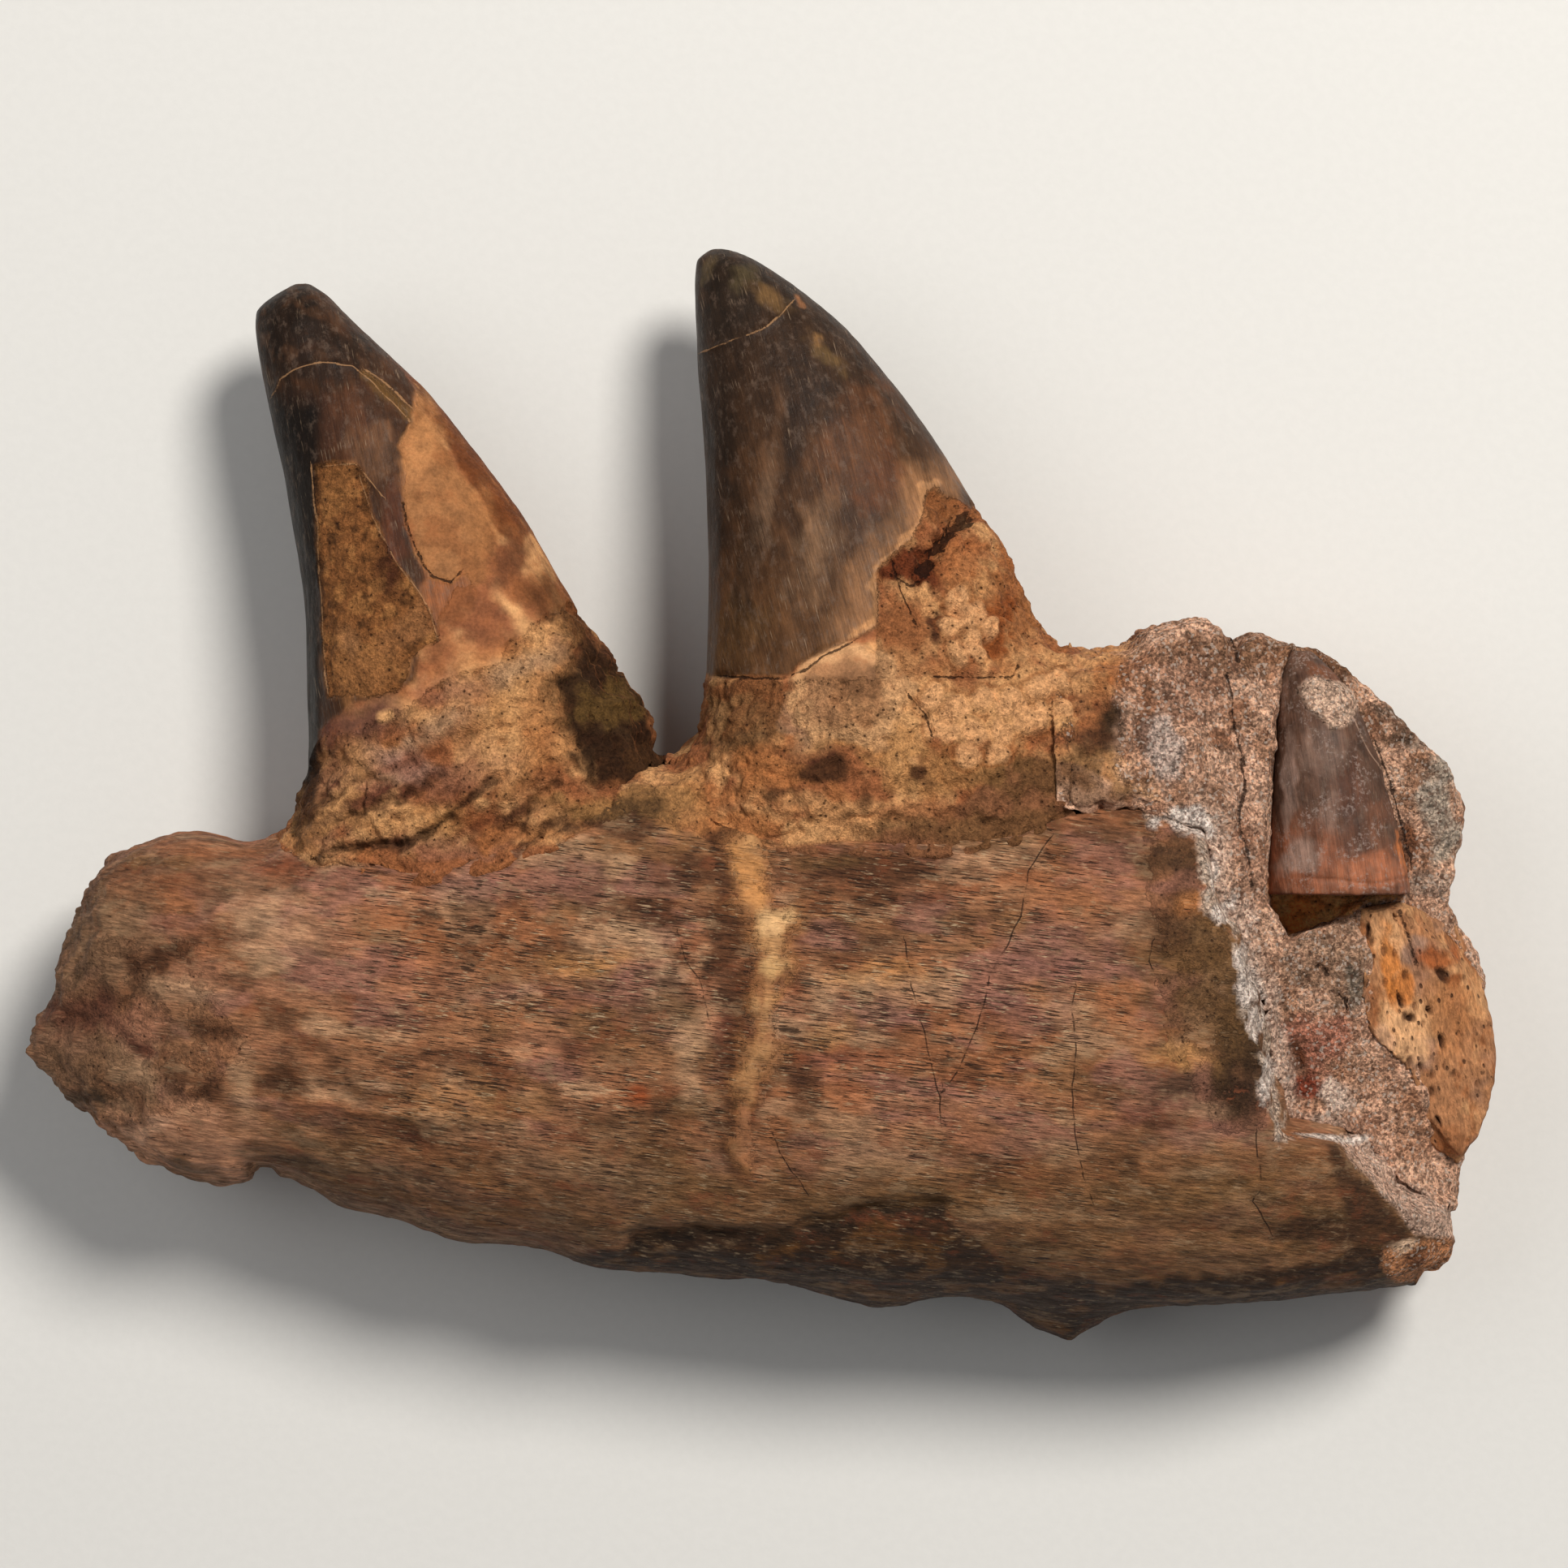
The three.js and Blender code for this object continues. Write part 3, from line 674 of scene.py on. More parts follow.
    def sand(self, tint):
        """Sandstone: fine pale and dark grains in soft clumps."""
        clump = self.noise(0.8, 5, 0.8)
        mottle = self.noise(3.0, 5, 0.7)
        grain = self.chance(0.28)
        odd = self.chance(0.34, "Green")
        colour = self.scaled(tint, self.spread(clump, 0.34, 1.72), self.spread(mottle, 0.74, 1.26),
                             self.ramp(grain, 0.0, 1.0, 0.56, 1.5))
        colour = self.over(self.ramp(mottle, 0.52, 0.66, 0, 0.35), colour, (150, 100, 74))
        colour = self.over(self.ramp(odd, 0.84, 0.9, 0, 0.6), colour, (104, 66, 48))
        colour = self.over(self.ramp(odd, 0.14, 0.08, 0, 0.5), colour, (232, 212, 196))
        height = self.plus(self.times(clump, 1.2), self.times(grain, 0.08),
                           self.ramp(self.cells(0.3), 0.0, 0.7, 0.1, 0.0))
        return colour, self.spread(clump, 0.95, 0.8), height

    def sponge(self, tint):
        """Spongy bone seen across its struts, with open dark pores."""
        fibre = self.noise(0.36, 5, 0.72, (1, 3.6, 1), 12)
        mottle = self.noise(1.8, 6, 0.75, (1, 1.6, 1), 12)
        pore = self.times(self.ramp(self.cells(1.0, "Distance", (1, 1.7, 1), 12), 0.24, 0.12),
                          self.ramp(mottle, 0.44, 0.56))
        colour = self.scaled(tint, self.spread(fibre, 0.6, 1.36), self.spread(mottle, 0.7, 1.3))
        colour = self.over(self.ramp(mottle, 0.54, 0.68, 0, 0.45), colour, (150, 84, 36))
        colour = self.over(self.times(pore, 0.85), colour, (58, 28, 12))
        height = self.math("SUBTRACT", self.plus(self.times(fibre, 0.45), self.times(mottle, 0.4)),
                           self.times(pore, 0.35))
        return colour, self.spread(fibre, 0.9, 0.74), height


# ---- Colours, as display colours ----

TAN = (138, 97, 69)
PINK = (150, 106, 84)
LAVENDER = (128, 90, 82)
CLAY = (144, 92, 60)
RUST = (112, 58, 30)
MAROON = (86, 46, 35)
GREY = (116, 90, 68)
PALE = (170, 140, 112)
GOLD = (172, 128, 82)
OLIVE = (98, 72, 44)
DARK_OLIVE = (58, 42, 26)
UMBER = (76, 48, 30)
DARK = (50, 33, 20)
CREAM = (206, 160, 112)
ORANGE = (168, 112, 68)
WHITE_CRUST = (214, 196, 182)

# ---- What the pieces share ----

# Porous bone round the teeth lies above this border, and dense bone below it.
POROUS_BORDER = [
    (250, 900), (352, 1046), (380, 1066), (440, 1064), (500, 1062), (560, 1048), (640, 1050),
    (700, 1034), (770, 1000), (815, 1008), (885, 1040), (950, 1042), (1016, 1040), (1081, 1022),
    (1108, 1008), (1186, 990), (1215, 962), (1238, 938), (1277, 928), (1343, 950), (1420, 985),
    (1440, 1010), (1900, 1010),
]
# White crust along the break, as ovals: x, y, radius across and radius down.
CRUST = [
    (1427, 1012, 14, 12), (1456, 1009, 28, 12), (1482, 1021, 14, 13), (1497, 1075, 9, 26),
    (1508, 1120, 15, 13), (1530, 1180, 12, 14), (1541, 1215, 13, 30), (1549, 1260, 9, 18),
    (1560, 1330, 8, 30), (1640, 1402, 50, 5),
]
BREAK_EDGE = [
    (1415, 1004), (1430, 1005), (1480, 1025), (1492, 1080), (1495, 1115), (1520, 1135), (1520, 1170),
    (1540, 1215), (1560, 1290), (1575, 1380), (1580, 1398), (1640, 1405), (1680, 1455), (1720, 1495),
    (1780, 1525),
]
RIM_POINTS = 11  # of the break's edge that have crust along them
COLLAR_CREVICE = [
    (395, 1056), (405, 1040), (451, 1042), (491, 1046), (516, 1032), (556, 1008), (588, 978), (614, 965),
]
COLLAR_FOLDS = [
    [(415, 1012), (470, 990), (520, 966), (548, 955)],
    [(400, 985), (430, 970), (470, 955)],
    [(600, 1040), (640, 1010), (668, 985), (690, 960)],
    [(640, 1046), (672, 1020), (700, 1000)],
]
SHELF = [(668, 1002), (715, 990), (765, 984), (820, 978), (862, 972)]


def share_of(signed):
    return between(-0.4, 0.4, signed)


def weather(surface, bone, porous, sand, enamel):
    """The relief of each kind of surface, by its share. It is the same on both sides of a joint."""
    fibres = 0.14 * surface.noise(1.7, 3, 2, (7, 1, 1), GRAIN_TURN)
    fibres += 0.1 * surface.noise(0.9, 4, 2, (5, 1, 1), GRAIN_TURN)
    fibres += 0.22 * surface.noise(5.5, 2, 2)
    pit, luck = cell_distance(surface.co, 1.9, 35)
    crumbs = 0.7 * surface.noise(4.6, 36, 3) + 0.45 * surface.noise(1.7, 37, 3)
    crumbs -= 0.5 * between(0.42, 0.14, pit) * (luck > 0.62)
    crumbs -= 0.5 * between(0.16, 0.02, np.abs(surface.noise(6.5, 38, 3)))
    grains = 0.6 * surface.noise(5, 93, 3) + 0.36 * surface.noise(1.5, 94, 3)
    grains += 0.22 * (0.6 - cell_distance(surface.co, 1.0, 92)[0])
    striae = 0.05 * surface.noise(0.9, 52, 2, (1, 7, 1), -6) + 0.12 * surface.noise(8, 53, 2)
    lumps = 0.4 * surface.noise(15, 1, 2) * (1 - enamel)
    return lumps + bone * fibres + porous * crumbs + sand * grains + enamel * striae


def collar(surface):
    """The folds and crevice where the front tooth's root flows into the jaw, and the shelf beside it."""
    round_root = surface.blob(500, 985, 190, 75)
    relief = 0.9 * round_root * surface.noise(3.2, 7, 3, (2.6, 1, 1), 24)
    relief -= surface.groove(COLLAR_CREVICE, 1.1, 0.5, 9, 2.0)
    for fold in COLLAR_FOLDS:
        relief -= surface.groove(fold, 0.6, 0.4, 12, 2.4)
    return relief + surface.groove(SHELF, 0.9, 1.6, 5)


def beside_break(bone):
    """Distance in mm from the ragged rim of the break, negative where it is crusted."""
    return bone.line(BREAK_EDGE[:RIM_POINTS], 7) - 0.5 - 1.8 * bone.noise(2.6, 11, 3)


def crust_on(surface):
    """1 in the middle of the white crust along the break, and negative outside it."""
    return np.maximum.reduce([surface.disc(*oval) for oval in CRUST]) + 0.5 * surface.ragged


def paint_joins(surface):
    """The colours of the porous bone round the teeth, which run on from piece to piece."""
    porous = share_of(surface.over(POROUS_BORDER)) * surface.up
    surface.paint(CLAY, porous)
    surface.stain(CREAM, 0.85 * porous, -0.25, 0.45, 4.5, 61, 4)
    surface.stain(ORANGE, 0.5 * porous, 0.0, 0.5, 3, 62, 4)
    surface.dab([
        # The front root and its collar.
        (PINK, 0.6, 430, 980, 60, 60), (PALE, 0.5, 490, 940, 44, 26), (PINK, 0.5, 560, 1040, 90, 14),
        (GOLD, 0.6, 440, 1010, 60, 22), (GOLD, 0.6, 520, 1000, 50, 20),
        (CREAM, 0.5, 480, 1022, 60, 9, 20), (MAROON, 0.7, 470, 985, 64, 8, 24),
        (MAROON, 0.7, 440, 960, 40, 8, 20), (MAROON, 0.6, 520, 955, 40, 9, 26),
        (RUST, 0.7, 660, 955, 60, 16, 20), (RUST, 0.6, 600, 1010, 30, 26, 30),
        (ORANGE, 0.6, 630, 1030, 50, 16), (UMBER, 0.8, 640, 1000, 30, 10, 35),
        (OLIVE, 0.8, 372, 1000, 14, 60), (OLIVE, 0.9, 770, 1000, 100, 22),
        (UMBER, 0.7, 760, 1020, 110, 10), (GOLD, 0.4, 800, 984, 60, 7),
        # The middle tooth's base.
        (OLIVE, 0.55, 915, 885, 56, 50), (DARK_OLIVE, 0.35, 935, 915, 40, 14),
        (GOLD, 0.5, 850, 1000, 30, 40), (PALE, 0.6, 1000, 880, 30, 44), (CREAM, 0.6, 1120, 890, 26, 50),
        (PINK, 0.5, 1000, 880, 30, 20), (UMBER, 0.5, 1078, 838, 28, 26), (GOLD, 0.6, 1080, 915, 80, 26),
        (CREAM, 0.7, 1220, 880, 90, 40), (GOLD, 0.6, 1170, 950, 80, 30),
        (CREAM, 0.5, 1060, 1000, 110, 24), (ORANGE, 0.6, 950, 950, 60, 26),
        (ORANGE, 0.6, 900, 1020, 60, 16), (CLAY, 0.5, 1140, 1000, 50, 16),
        (UMBER, 0.85, 1014, 950, 30, 15), (UMBER, 0.8, 1140, 950, 12, 20, 30),
        (UMBER, 0.7, 960, 982, 16, 8), (UMBER, 0.7, 1066, 980, 16, 8), (RUST, 0.5, 1190, 925, 30, 8),
        (MAROON, 0.4, 1010, 930, 60, 6), (RUST, 0.5, 1330, 850, 60, 30),
        (ORANGE, 0.6, 1370, 840, 40, 26), (CREAM, 0.5, 1290, 840, 40, 22),
        (DARK_OLIVE, 0.8, 1375, 905, 22, 36), (UMBER, 0.7, 1345, 915, 26, 16),
        (CREAM, 0.7, 1390, 948, 44, 16),
        # The dense bone just below them.
        (OLIVE, 0.55, 1310, 960, 90, 30), (OLIVE, 0.5, 1230, 1024, 130, 22),
        (UMBER, 0.5, 1380, 1010, 60, 22),
    ])
    fold = surface.noise(3.2, 7, 3, (2.6, 1, 1), 24)
    surface.paint(CREAM, 0.65 * surface.blob(500, 985, 170, 60) * between(-0.05, 0.45, fold))
    surface.paint(MAROON, 0.45 * surface.blob(500, 985, 170, 60) * between(-0.15, -0.5, fold))
    crevice = surface.line(COLLAR_CREVICE, 9, 2.0) + 0.5 * surface.ragged
    surface.paint(DARK, 0.8 * between(0.8, 0.2, crevice))
    for fold in COLLAR_FOLDS:
        surface.paint(UMBER, 0.7 * between(0.7, 0.1, surface.line(fold, 12, 2.4) + 0.5 * surface.ragged))


# ---- The jaw bone ----

# The mineral vein down the middle is a path with nodules on it: x, y, radius across and radius down.
VEIN = [
    (927, 1062, 26, 34), (925, 1098, 25, 28), (946, 1140, 29, 27), (953, 1165, 16, 20), (949, 1197, 20, 25),
    (940, 1235, 15, 24), (942, 1268, 13, 16), (938, 1300, 23, 26), (926, 1336, 24, 20),
]
VEIN_PATH = [
    (922, 1040), (925, 1090), (948, 1140), (950, 1195), (940, 1240), (938, 1300), (922, 1350),
    (915, 1430),
]
HAIRLINES = [
    [(836, 1150), (846, 1185), (862, 1210), (872, 1258)],
    [
        (1296, 1030), (1268, 1075), (1258, 1130), (1240, 1165), (1218, 1205), (1205, 1260), (1180, 1320),
        (1160, 1352),
    ],
    [(1115, 1160), (1122, 1215), (1138, 1265), (1148, 1320), (1160, 1352), (1157, 1385)],
    [(1327, 1215), (1320, 1245), (1325, 1290), (1322, 1340), (1326, 1402), (1334, 1450), (1344, 1480)],
    [(1418, 1160), (1416, 1185), (1424, 1210)],
    [(1548, 1395), (1553, 1440), (1553, 1468), (1542, 1480)],
    [(1542, 1480), (1556, 1500), (1566, 1520)],
    [(948, 1385), (960, 1420), (976, 1445), (996, 1470)],
]
WORN = [
    (1400, 1006), (1490, 1040), (1515, 1140), (1560, 1290), (1575, 1390), (1500, 1400), (1450, 1330),
    (1415, 1200),
]
# The sandstone that still covers the jaw's lower right corner, and the broken face in its shade.
CORNER_STONE = [
    (1646, 1398), (1674, 1444), (1711, 1481), (1747, 1522), (1800, 1532), (1810, 1470), (1700, 1390),
]
CORNER_FACET = [
    (1630, 1404), (1648, 1412), (1672, 1447), (1710, 1486), (1750, 1528), (1700, 1534), (1560, 1528),
    (1590, 1500), (1660, 1500), (1640, 1440),
]
CORNER_CHUNK = [
    (1700, 1562), (1705, 1535), (1740, 1530), (1790, 1528), (1790, 1560), (1770, 1585), (1720, 1580),
]
# The lip at the lower left, and the notch to its right, as ovals.
LOWER_LIP = (287, 1452, 34, 22)
LIP_NOTCH = (328, 1446, 26, 22)
LEDGE = [(318, 1362), (380, 1356), (430, 1366), (480, 1368), (545, 1378)]
SLOT = [(672, 1043), (695, 1050), (714, 1056)]
# The face turns under below this border.
FOOT_BORDER = [
    (0, 1500), (330, 1446), (450, 1496), (560, 1530), (700, 1540), (780, 1530), (860, 1516), (960, 1528),
    (1012, 1510), (1080, 1494), (1160, 1490), (1200, 1520), (1240, 1552), (1300, 1574), (1400, 1574),
    (1550, 1562), (1640, 1548), (1700, 1524), (1790, 1527), (1900, 1527),
]
UNDERCUT = [(780, 1532), (860, 1516), (960, 1530), (1012, 1512), (1080, 1494), (1160, 1492)]
DIPS = [
    (0.8, 345, 1335, 34, 26), (0.6, 410, 1336, 26, 12), (0.6, 470, 1345, 34, 11),
    (0.6, 255, 1350, 30, 24), (0.8, 500, 1402, 30, 13, -25), (0.6, 190, 1190, 45, 20),
    (0.5, 90, 1245, 60, 26), (0.6, 255, 1275, 38, 10), (0.5, 185, 1290, 30, 14, -30),
    (0.5, 1060, 1078, 100, 30), (0.5, 905, 1180, 20, 60), (0.5, 905, 1370, 50, 8),
    (-0.6, 165, 1262, 36, 26), (-0.5, 1100, 1560, 70, 26), (0.9, 1530, 1462, 12, 9),
    (0.5, 1293, 1058, 9, 6), (-0.5, 1240, 1495, 90, 14), (0.7, 1560, 1520, 180, 14),
    (-0.4, 215, 1225, 40, 18), (0.5, 1470, 1250, 60, 60),
]


def build_jaw():
    bone = Surface("jaw_bone", 0.59, 26, 2.2, ("front_tooth", "middle_tooth", "rock_matrix"))
    porous = np.where(bone.up > 0.3, bone.over(POROUS_BORDER), 3 - bone.gap)
    porous = np.where(bone.right > 1440, -9, porous)
    worn = np.maximum(bone.region(WORN) - 0.4, 2 * bone.disc(150, 1290, 130, 130))
    worn = np.clip(worn, -9, 0.8) + 1.4 * bone.noise(2.6, 41, 4) - 0.5
    broken = between(0.3, 0.6, np.abs(bone.normal[:, 0])) * between(50, 64, np.abs(bone.co[:, 0]))
    ground = between(1.2, 0.1, bone.co[:, 2])
    rough = (0.9 * broken + 0.35 * (1 - bone.up)) * (bone.noise(4, 5, 3) + 0.5 * bone.noise(1.6, 6, 2))
    nodules = [bone.disc(*nodule) for nodule in VEIN]
    vein = np.maximum.reduce([0.8 - bone.line(VEIN_PATH, 12) / 1.7, *nodules])
    dips = sum(depth * bone.blob(*place) for depth, *place in DIPS)
    grooves = sum(bone.groove(points, 0.3, 0.3, 3) for points in HAIRLINES)
    grooves = grooves + bone.groove(SLOT, 0.7, 0.45) + bone.groove(UNDERCUT, 1.2, 1.3, 6)
    crumbly = share_of(porous)
    relief = weather(bone, 1 - crumbly, crumbly + 0.3 * share_of(worn), 0 * porous, 0 * porous)
    relief += collar(bone) + rough + 0.6 * between(-0.3, 0.9, vein) * bone.up - dips - grooves
    relief += 0.6 * between(0, 0.5, bone.disc(*LOWER_LIP)) - 0.9 * between(0, 0.5, bone.disc(*LIP_NOTCH))
    relief += bone.groove(LEDGE, 0.5, 0.7, 6)
    bone.push(0.08 + relief * (1 - ground))

    bone.start_paint(TAN)
    paint_bone(bone, vein, broken)
    bone.keep("porous", np.maximum(porous, worn))
    slits = 0.6 + 0.6 * bone.blob(660, 1230, 230, 150) + 0.7 * bone.blob(1150, 1240, 220, 130)
    bone.keep("slits", slits * between(260, 520, bone.right) * between(1450, 1360, bone.right))
    bone.keep("vein", np.where(bone.up > 0.3, vein, -9))
    bone.keep_lines("crack", HAIRLINES, 9.0, 3)
    crust = beside_break(bone)
    stone = np.maximum.reduce([bone.region(CORNER_STONE), bone.region(CORNER_CHUNK), crust_on(bone)])
    bone.keep("sand", np.where((bone.right > 1405) & (bone.up > 0.3), np.maximum(-crust, stone), -9))
    look = Look("fossil_bone")
    tint = look.tint()
    style = look.laid(look.within("porous", 0.5, 1.2), look.bone(tint), look.porous(tint))
    style = look.laid(look.times(look.within("vein", 0.5), 0.65), style, look.dentine(tint))
    style = look.laid(look.within("sand", 0.35), style, look.sand(tint))
    style = look.lined(style, "crack", (34, 20, 12), 0.08, 0.2, 0.8)
    bone.finish("jaw_bone", "fossil_bone", look.done(style, 0.2))


def paint_bone(bone, vein, broken):
    """The soft stains of the jaw bone, and painted shade on its foot, undercut, corner facet and vein
    flank.
    """
    bone.stain(PINK, 0.6, -0.1, 0.5, 9, 21, 3, (2.5, 1, 1), GRAIN_TURN)
    bone.stain(OLIVE, 0.5, 0.1, 0.4, 7, 22, 4, (2, 1, 1), GRAIN_TURN)
    bone.stain(CLAY, 0.6, 0.05, 0.35, 5, 23, 4, (2.6, 1, 1), GRAIN_TURN)
    bone.stain(LAVENDER, 0.6, 0.1, 0.35, 4, 24, 4, (2.6, 1, 1), GRAIN_TURN)
    bone.stain(PALE, 0.5, 0.15, 0.4, 3.4, 26, 4, (2.4, 1, 1), GRAIN_TURN)
    bone.stain(UMBER, 0.6, 0.2, 0.45, 3, 25, 4, (2.2, 1, 1), GRAIN_TURN)
    bone.paint(GREY, 0.6 * broken)
    paint_joins(bone)
    bone.dab([
        # The left end.
        (GREY, 0.7, 130, 1160, 60, 70), (GREY, 0.5, 130, 1300, 90, 60), (PALE, 0.45, 320, 1118, 56, 26),
        ((104, 68, 46), 0.6, 250, 1072, 170, 34), (PALE, 0.35, 345, 1152, 50, 20),
        (PALE, 0.5, 215, 1225, 46, 18), (PINK, 0.7, 165, 1264, 34, 24), (UMBER, 0.8, 200, 1182, 44, 14),
        (UMBER, 0.7, 172, 1202, 14, 26), (UMBER, 0.5, 150, 1232, 40, 14),
        (MAROON, 0.6, 92, 1248, 56, 22), (MAROON, 0.7, 184, 1288, 26, 11, -30),
        (UMBER, 0.7, 262, 1272, 32, 10), (PALE, 0.5, 165, 1345, 34, 40), (UMBER, 0.8, 256, 1352, 30, 20),
        (UMBER, 0.6, 216, 1330, 22, 22), (UMBER, 0.6, 350, 1338, 40, 15), (UMBER, 0.6, 408, 1335, 24, 9),
        (UMBER, 0.7, 470, 1346, 32, 9), (PALE, 0.4, 300, 1345, 14, 50),
        (MAROON, 0.8, 502, 1400, 26, 11, -25), (OLIVE, 0.5, 350, 1388, 26, 8),
        (CLAY, 0.6, 210, 1383, 16, 10), (DARK_OLIVE, 0.7, 120, 1350, 26, 12),
        (OLIVE, 0.6, 170, 1064, 16, 14), (OLIVE, 0.5, 210, 1062, 34, 8), (CLAY, 0.5, 250, 1040, 70, 16),
        (RUST, 0.4, 350, 1078, 44, 18), (GREY, 0.5, 460, 1442, 120, 16), (OLIVE, 0.4, 420, 1415, 70, 14),
        (CLAY, 0.4, 420, 1365, 90, 8), (PINK, 0.5, 280, 1440, 26, 14),
        # From there to the vein.
        (CLAY, 0.25, 520, 1190, 30, 100), (DARK, 0.6, 529, 1127, 14, 9),
        (LAVENDER, 0.5, 650, 1085, 120, 26), (LAVENDER, 0.4, 745, 1198, 40, 9),
        (LAVENDER, 0.4, 655, 1228, 60, 10), (PALE, 0.5, 760, 1160, 60, 18),
        (GOLD, 0.6, 712, 1186, 44, 12), (OLIVE, 0.4, 800, 1245, 50, 18), (UMBER, 0.7, 852, 1070, 46, 22),
        (UMBER, 0.7, 800, 1112, 30, 13), (UMBER, 0.7, 830, 1136, 36, 9),
        (MAROON, 0.5, 700, 1288, 22, 14), (RUST, 0.85, 784, 1346, 17, 17),
        (OLIVE, 0.4, 850, 1350, 36, 22), (PALE, 0.4, 845, 1325, 20, 26), (PALE, 0.35, 735, 1420, 44, 26),
        (OLIVE, 0.4, 830, 1448, 90, 34), (PALE, 0.5, 850, 1280, 30, 16), (CLAY, 0.4, 600, 1180, 90, 20),
        (RUST, 0.3, 620, 1420, 120, 30), (GOLD, 0.3, 580, 1360, 90, 30), (UMBER, 0.8, 893, 1165, 22, 46),
        (UMBER, 0.75, 908, 1225, 18, 50), (MAROON, 0.6, 900, 1285, 16, 34),
        (DARK_OLIVE, 0.85, 900, 1371, 46, 6), (CLAY, 0.5, 940, 1400, 26, 26),
        (MAROON, 0.4, 880, 1395, 30, 14),
        # From the vein to the right break.
        (UMBER, 0.85, 1060, 1076, 92, 26), (UMBER, 0.6, 1120, 1108, 52, 10),
        (OLIVE, 0.6, 1020, 1062, 50, 10), (UMBER, 0.5, 985, 1320, 26, 50),
        (UMBER, 0.5, 992, 1345, 18, 30), (LAVENDER, 0.6, 1295, 1172, 64, 36),
        (LAVENDER, 0.5, 1060, 1252, 60, 22), (LAVENDER, 0.5, 1250, 1250, 56, 22),
        (GOLD, 0.5, 1022, 1268, 30, 18), (PALE, 0.5, 1010, 1230, 24, 30),
        (GOLD, 0.4, 1075, 1202, 60, 12), (RUST, 0.4, 1040, 1300, 50, 12),
        (RUST, 0.4, 1290, 1448, 60, 20), (CLAY, 0.4, 1160, 1400, 80, 20),
        (CLAY, 0.4, 1330, 1110, 50, 30), (OLIVE, 0.7, 1480, 1160, 64, 50),
        (DARK_OLIVE, 0.8, 1530, 1280, 34, 74), (DARK, 0.7, 1536, 1350, 30, 44),
        (OLIVE, 0.65, 1484, 1240, 50, 60), (DARK_OLIVE, 0.6, 1445, 1340, 34, 24),
        (GOLD, 0.6, 1455, 1305, 34, 14), (DARK_OLIVE, 0.65, 1440, 1060, 56, 30),
        (UMBER, 0.6, 1430, 1140, 36, 24), (ORANGE, 0.6, 1478, 1116, 22, 11),
        (LAVENDER, 0.5, 1490, 1402, 70, 12), (OLIVE, 0.4, 1500, 1460, 90, 24),
        (DARK, 0.85, 1530, 1462, 12, 8), (PALE, 0.4, 1490, 1437, 60, 7), (DARK, 0.8, 1293, 1058, 8, 5),
        (MAROON, 0.5, 1400, 1380, 40, 14),
        # The foot of the face and the hanging knobs; the dark dabs here are painted shade under them.
        (OLIVE, 0.7, 1130, 1480, 90, 16), (PALE, 0.6, 1230, 1492, 70, 8),
        (DARK, 0.9, 1090, 1500, 90, 9, 10), (UMBER, 0.6, 1240, 1540, 90, 20),
        (GREY, 0.4, 1500, 1545, 200, 12), (DARK, 0.8, 1640, 1515, 90, 16),
        (DARK, 0.7, 1600, 1490, 60, 12, -20), (GOLD, 0.5, 1060, 1560, 60, 30),
        (GOLD, 0.4, 1320, 1640, 30, 10),
    ], 0.6)
    # Painted shade: the face is painted darker and more olive towards the bottom, where it rounds away
    # below.
    bone.paint(OLIVE, 0.7 * between(1340, 1490, bone.down))
    # Painted shade where the face turns under, laid over the bone's darker patina there: nearly black, with
    # brown clouds.
    foot = between(0.2, -1.0, bone.over(FOOT_BORDER) + 0.8 * bone.ragged)
    bone.paint((46, 27, 11), 0.95 * foot)
    bone.stain((96, 64, 30), 0.7 * foot, 0.1, 0.35, 3.0, 28, 4)
    # Painted shadow: a near-black line along the undercut, under the overhang.
    bone.paint((26, 16, 8), 0.85 * between(1.4, 0.3, bone.line(UNDERCUT, 6)))
    # Painted shade on the broken facet below the corner's sandstone.
    bone.paint((62, 40, 24), 0.9 * between(-0.6, 0.8, bone.region(CORNER_FACET)) * bone.up)
    bone.paint((214, 184, 168), 0.95 * between(-0.2, 0.3, bone.region(CORNER_STONE)))
    bone.paint((206, 146, 104), 0.9 * between(-0.2, 0.3, bone.region(CORNER_CHUNK)))
    bone.dab([((226, 196, 170), 0.8, 1724, 1542, 18, 10), ((96, 56, 34), 0.6, 1750, 1552, 22, 8, 20),
              ((172, 128, 100), 0.8, 200, 1400, 100, 34), ((178, 132, 104), 0.8, 275, 1428, 36, 24),
              ((196, 156, 130), 0.6, 190, 1392, 26, 12), ((112, 76, 52), 0.6, 150, 1345, 40, 14, -30),
              ((122, 84, 56), 0.5, 1400, 1550, 60, 14)])
    soft = vein + 0.5 * bone.ragged + 0.35 * bone.noise(3, 30, 3)
    # Painted shade: a dark band along the left flank of the raised vein.
    bone.paint((84, 52, 30), 0.8 * between(-1.3, -0.5, soft) * between(960, 920, bone.right) * bone.up)
    faint = between(1180, 1400, bone.down + 60 * bone.noise(3.6, 31, 3))
    bone.paint((138, 96, 60), (0.85 - 0.35 * faint) * between(-0.4, 0.2, soft) * bone.up)
    bone.paint((178, 138, 94), (0.85 - 0.6 * faint) * between(0.1, 0.8, soft) * bone.up)
    bone.dab([((206, 170, 124), 0.7, 948, 1132, 20, 16), ((196, 160, 110), 0.6, 950, 1196, 12, 16),
              ((150, 104, 74), 0.6, 928, 1410, 14, 36), ((172, 122, 72), 0.7, 925, 1075, 18, 30)])
    beside = between(0.4, -0.2, beside_break(bone)) * between(1400, 1420, bone.right)
    bone.paint(WHITE_CRUST, 0.8 * beside * bone.up)
    bone.paint((232, 222, 218), between(-0.1, 0.3, crust_on(bone)) * bone.up)


# ---- The front tooth ----

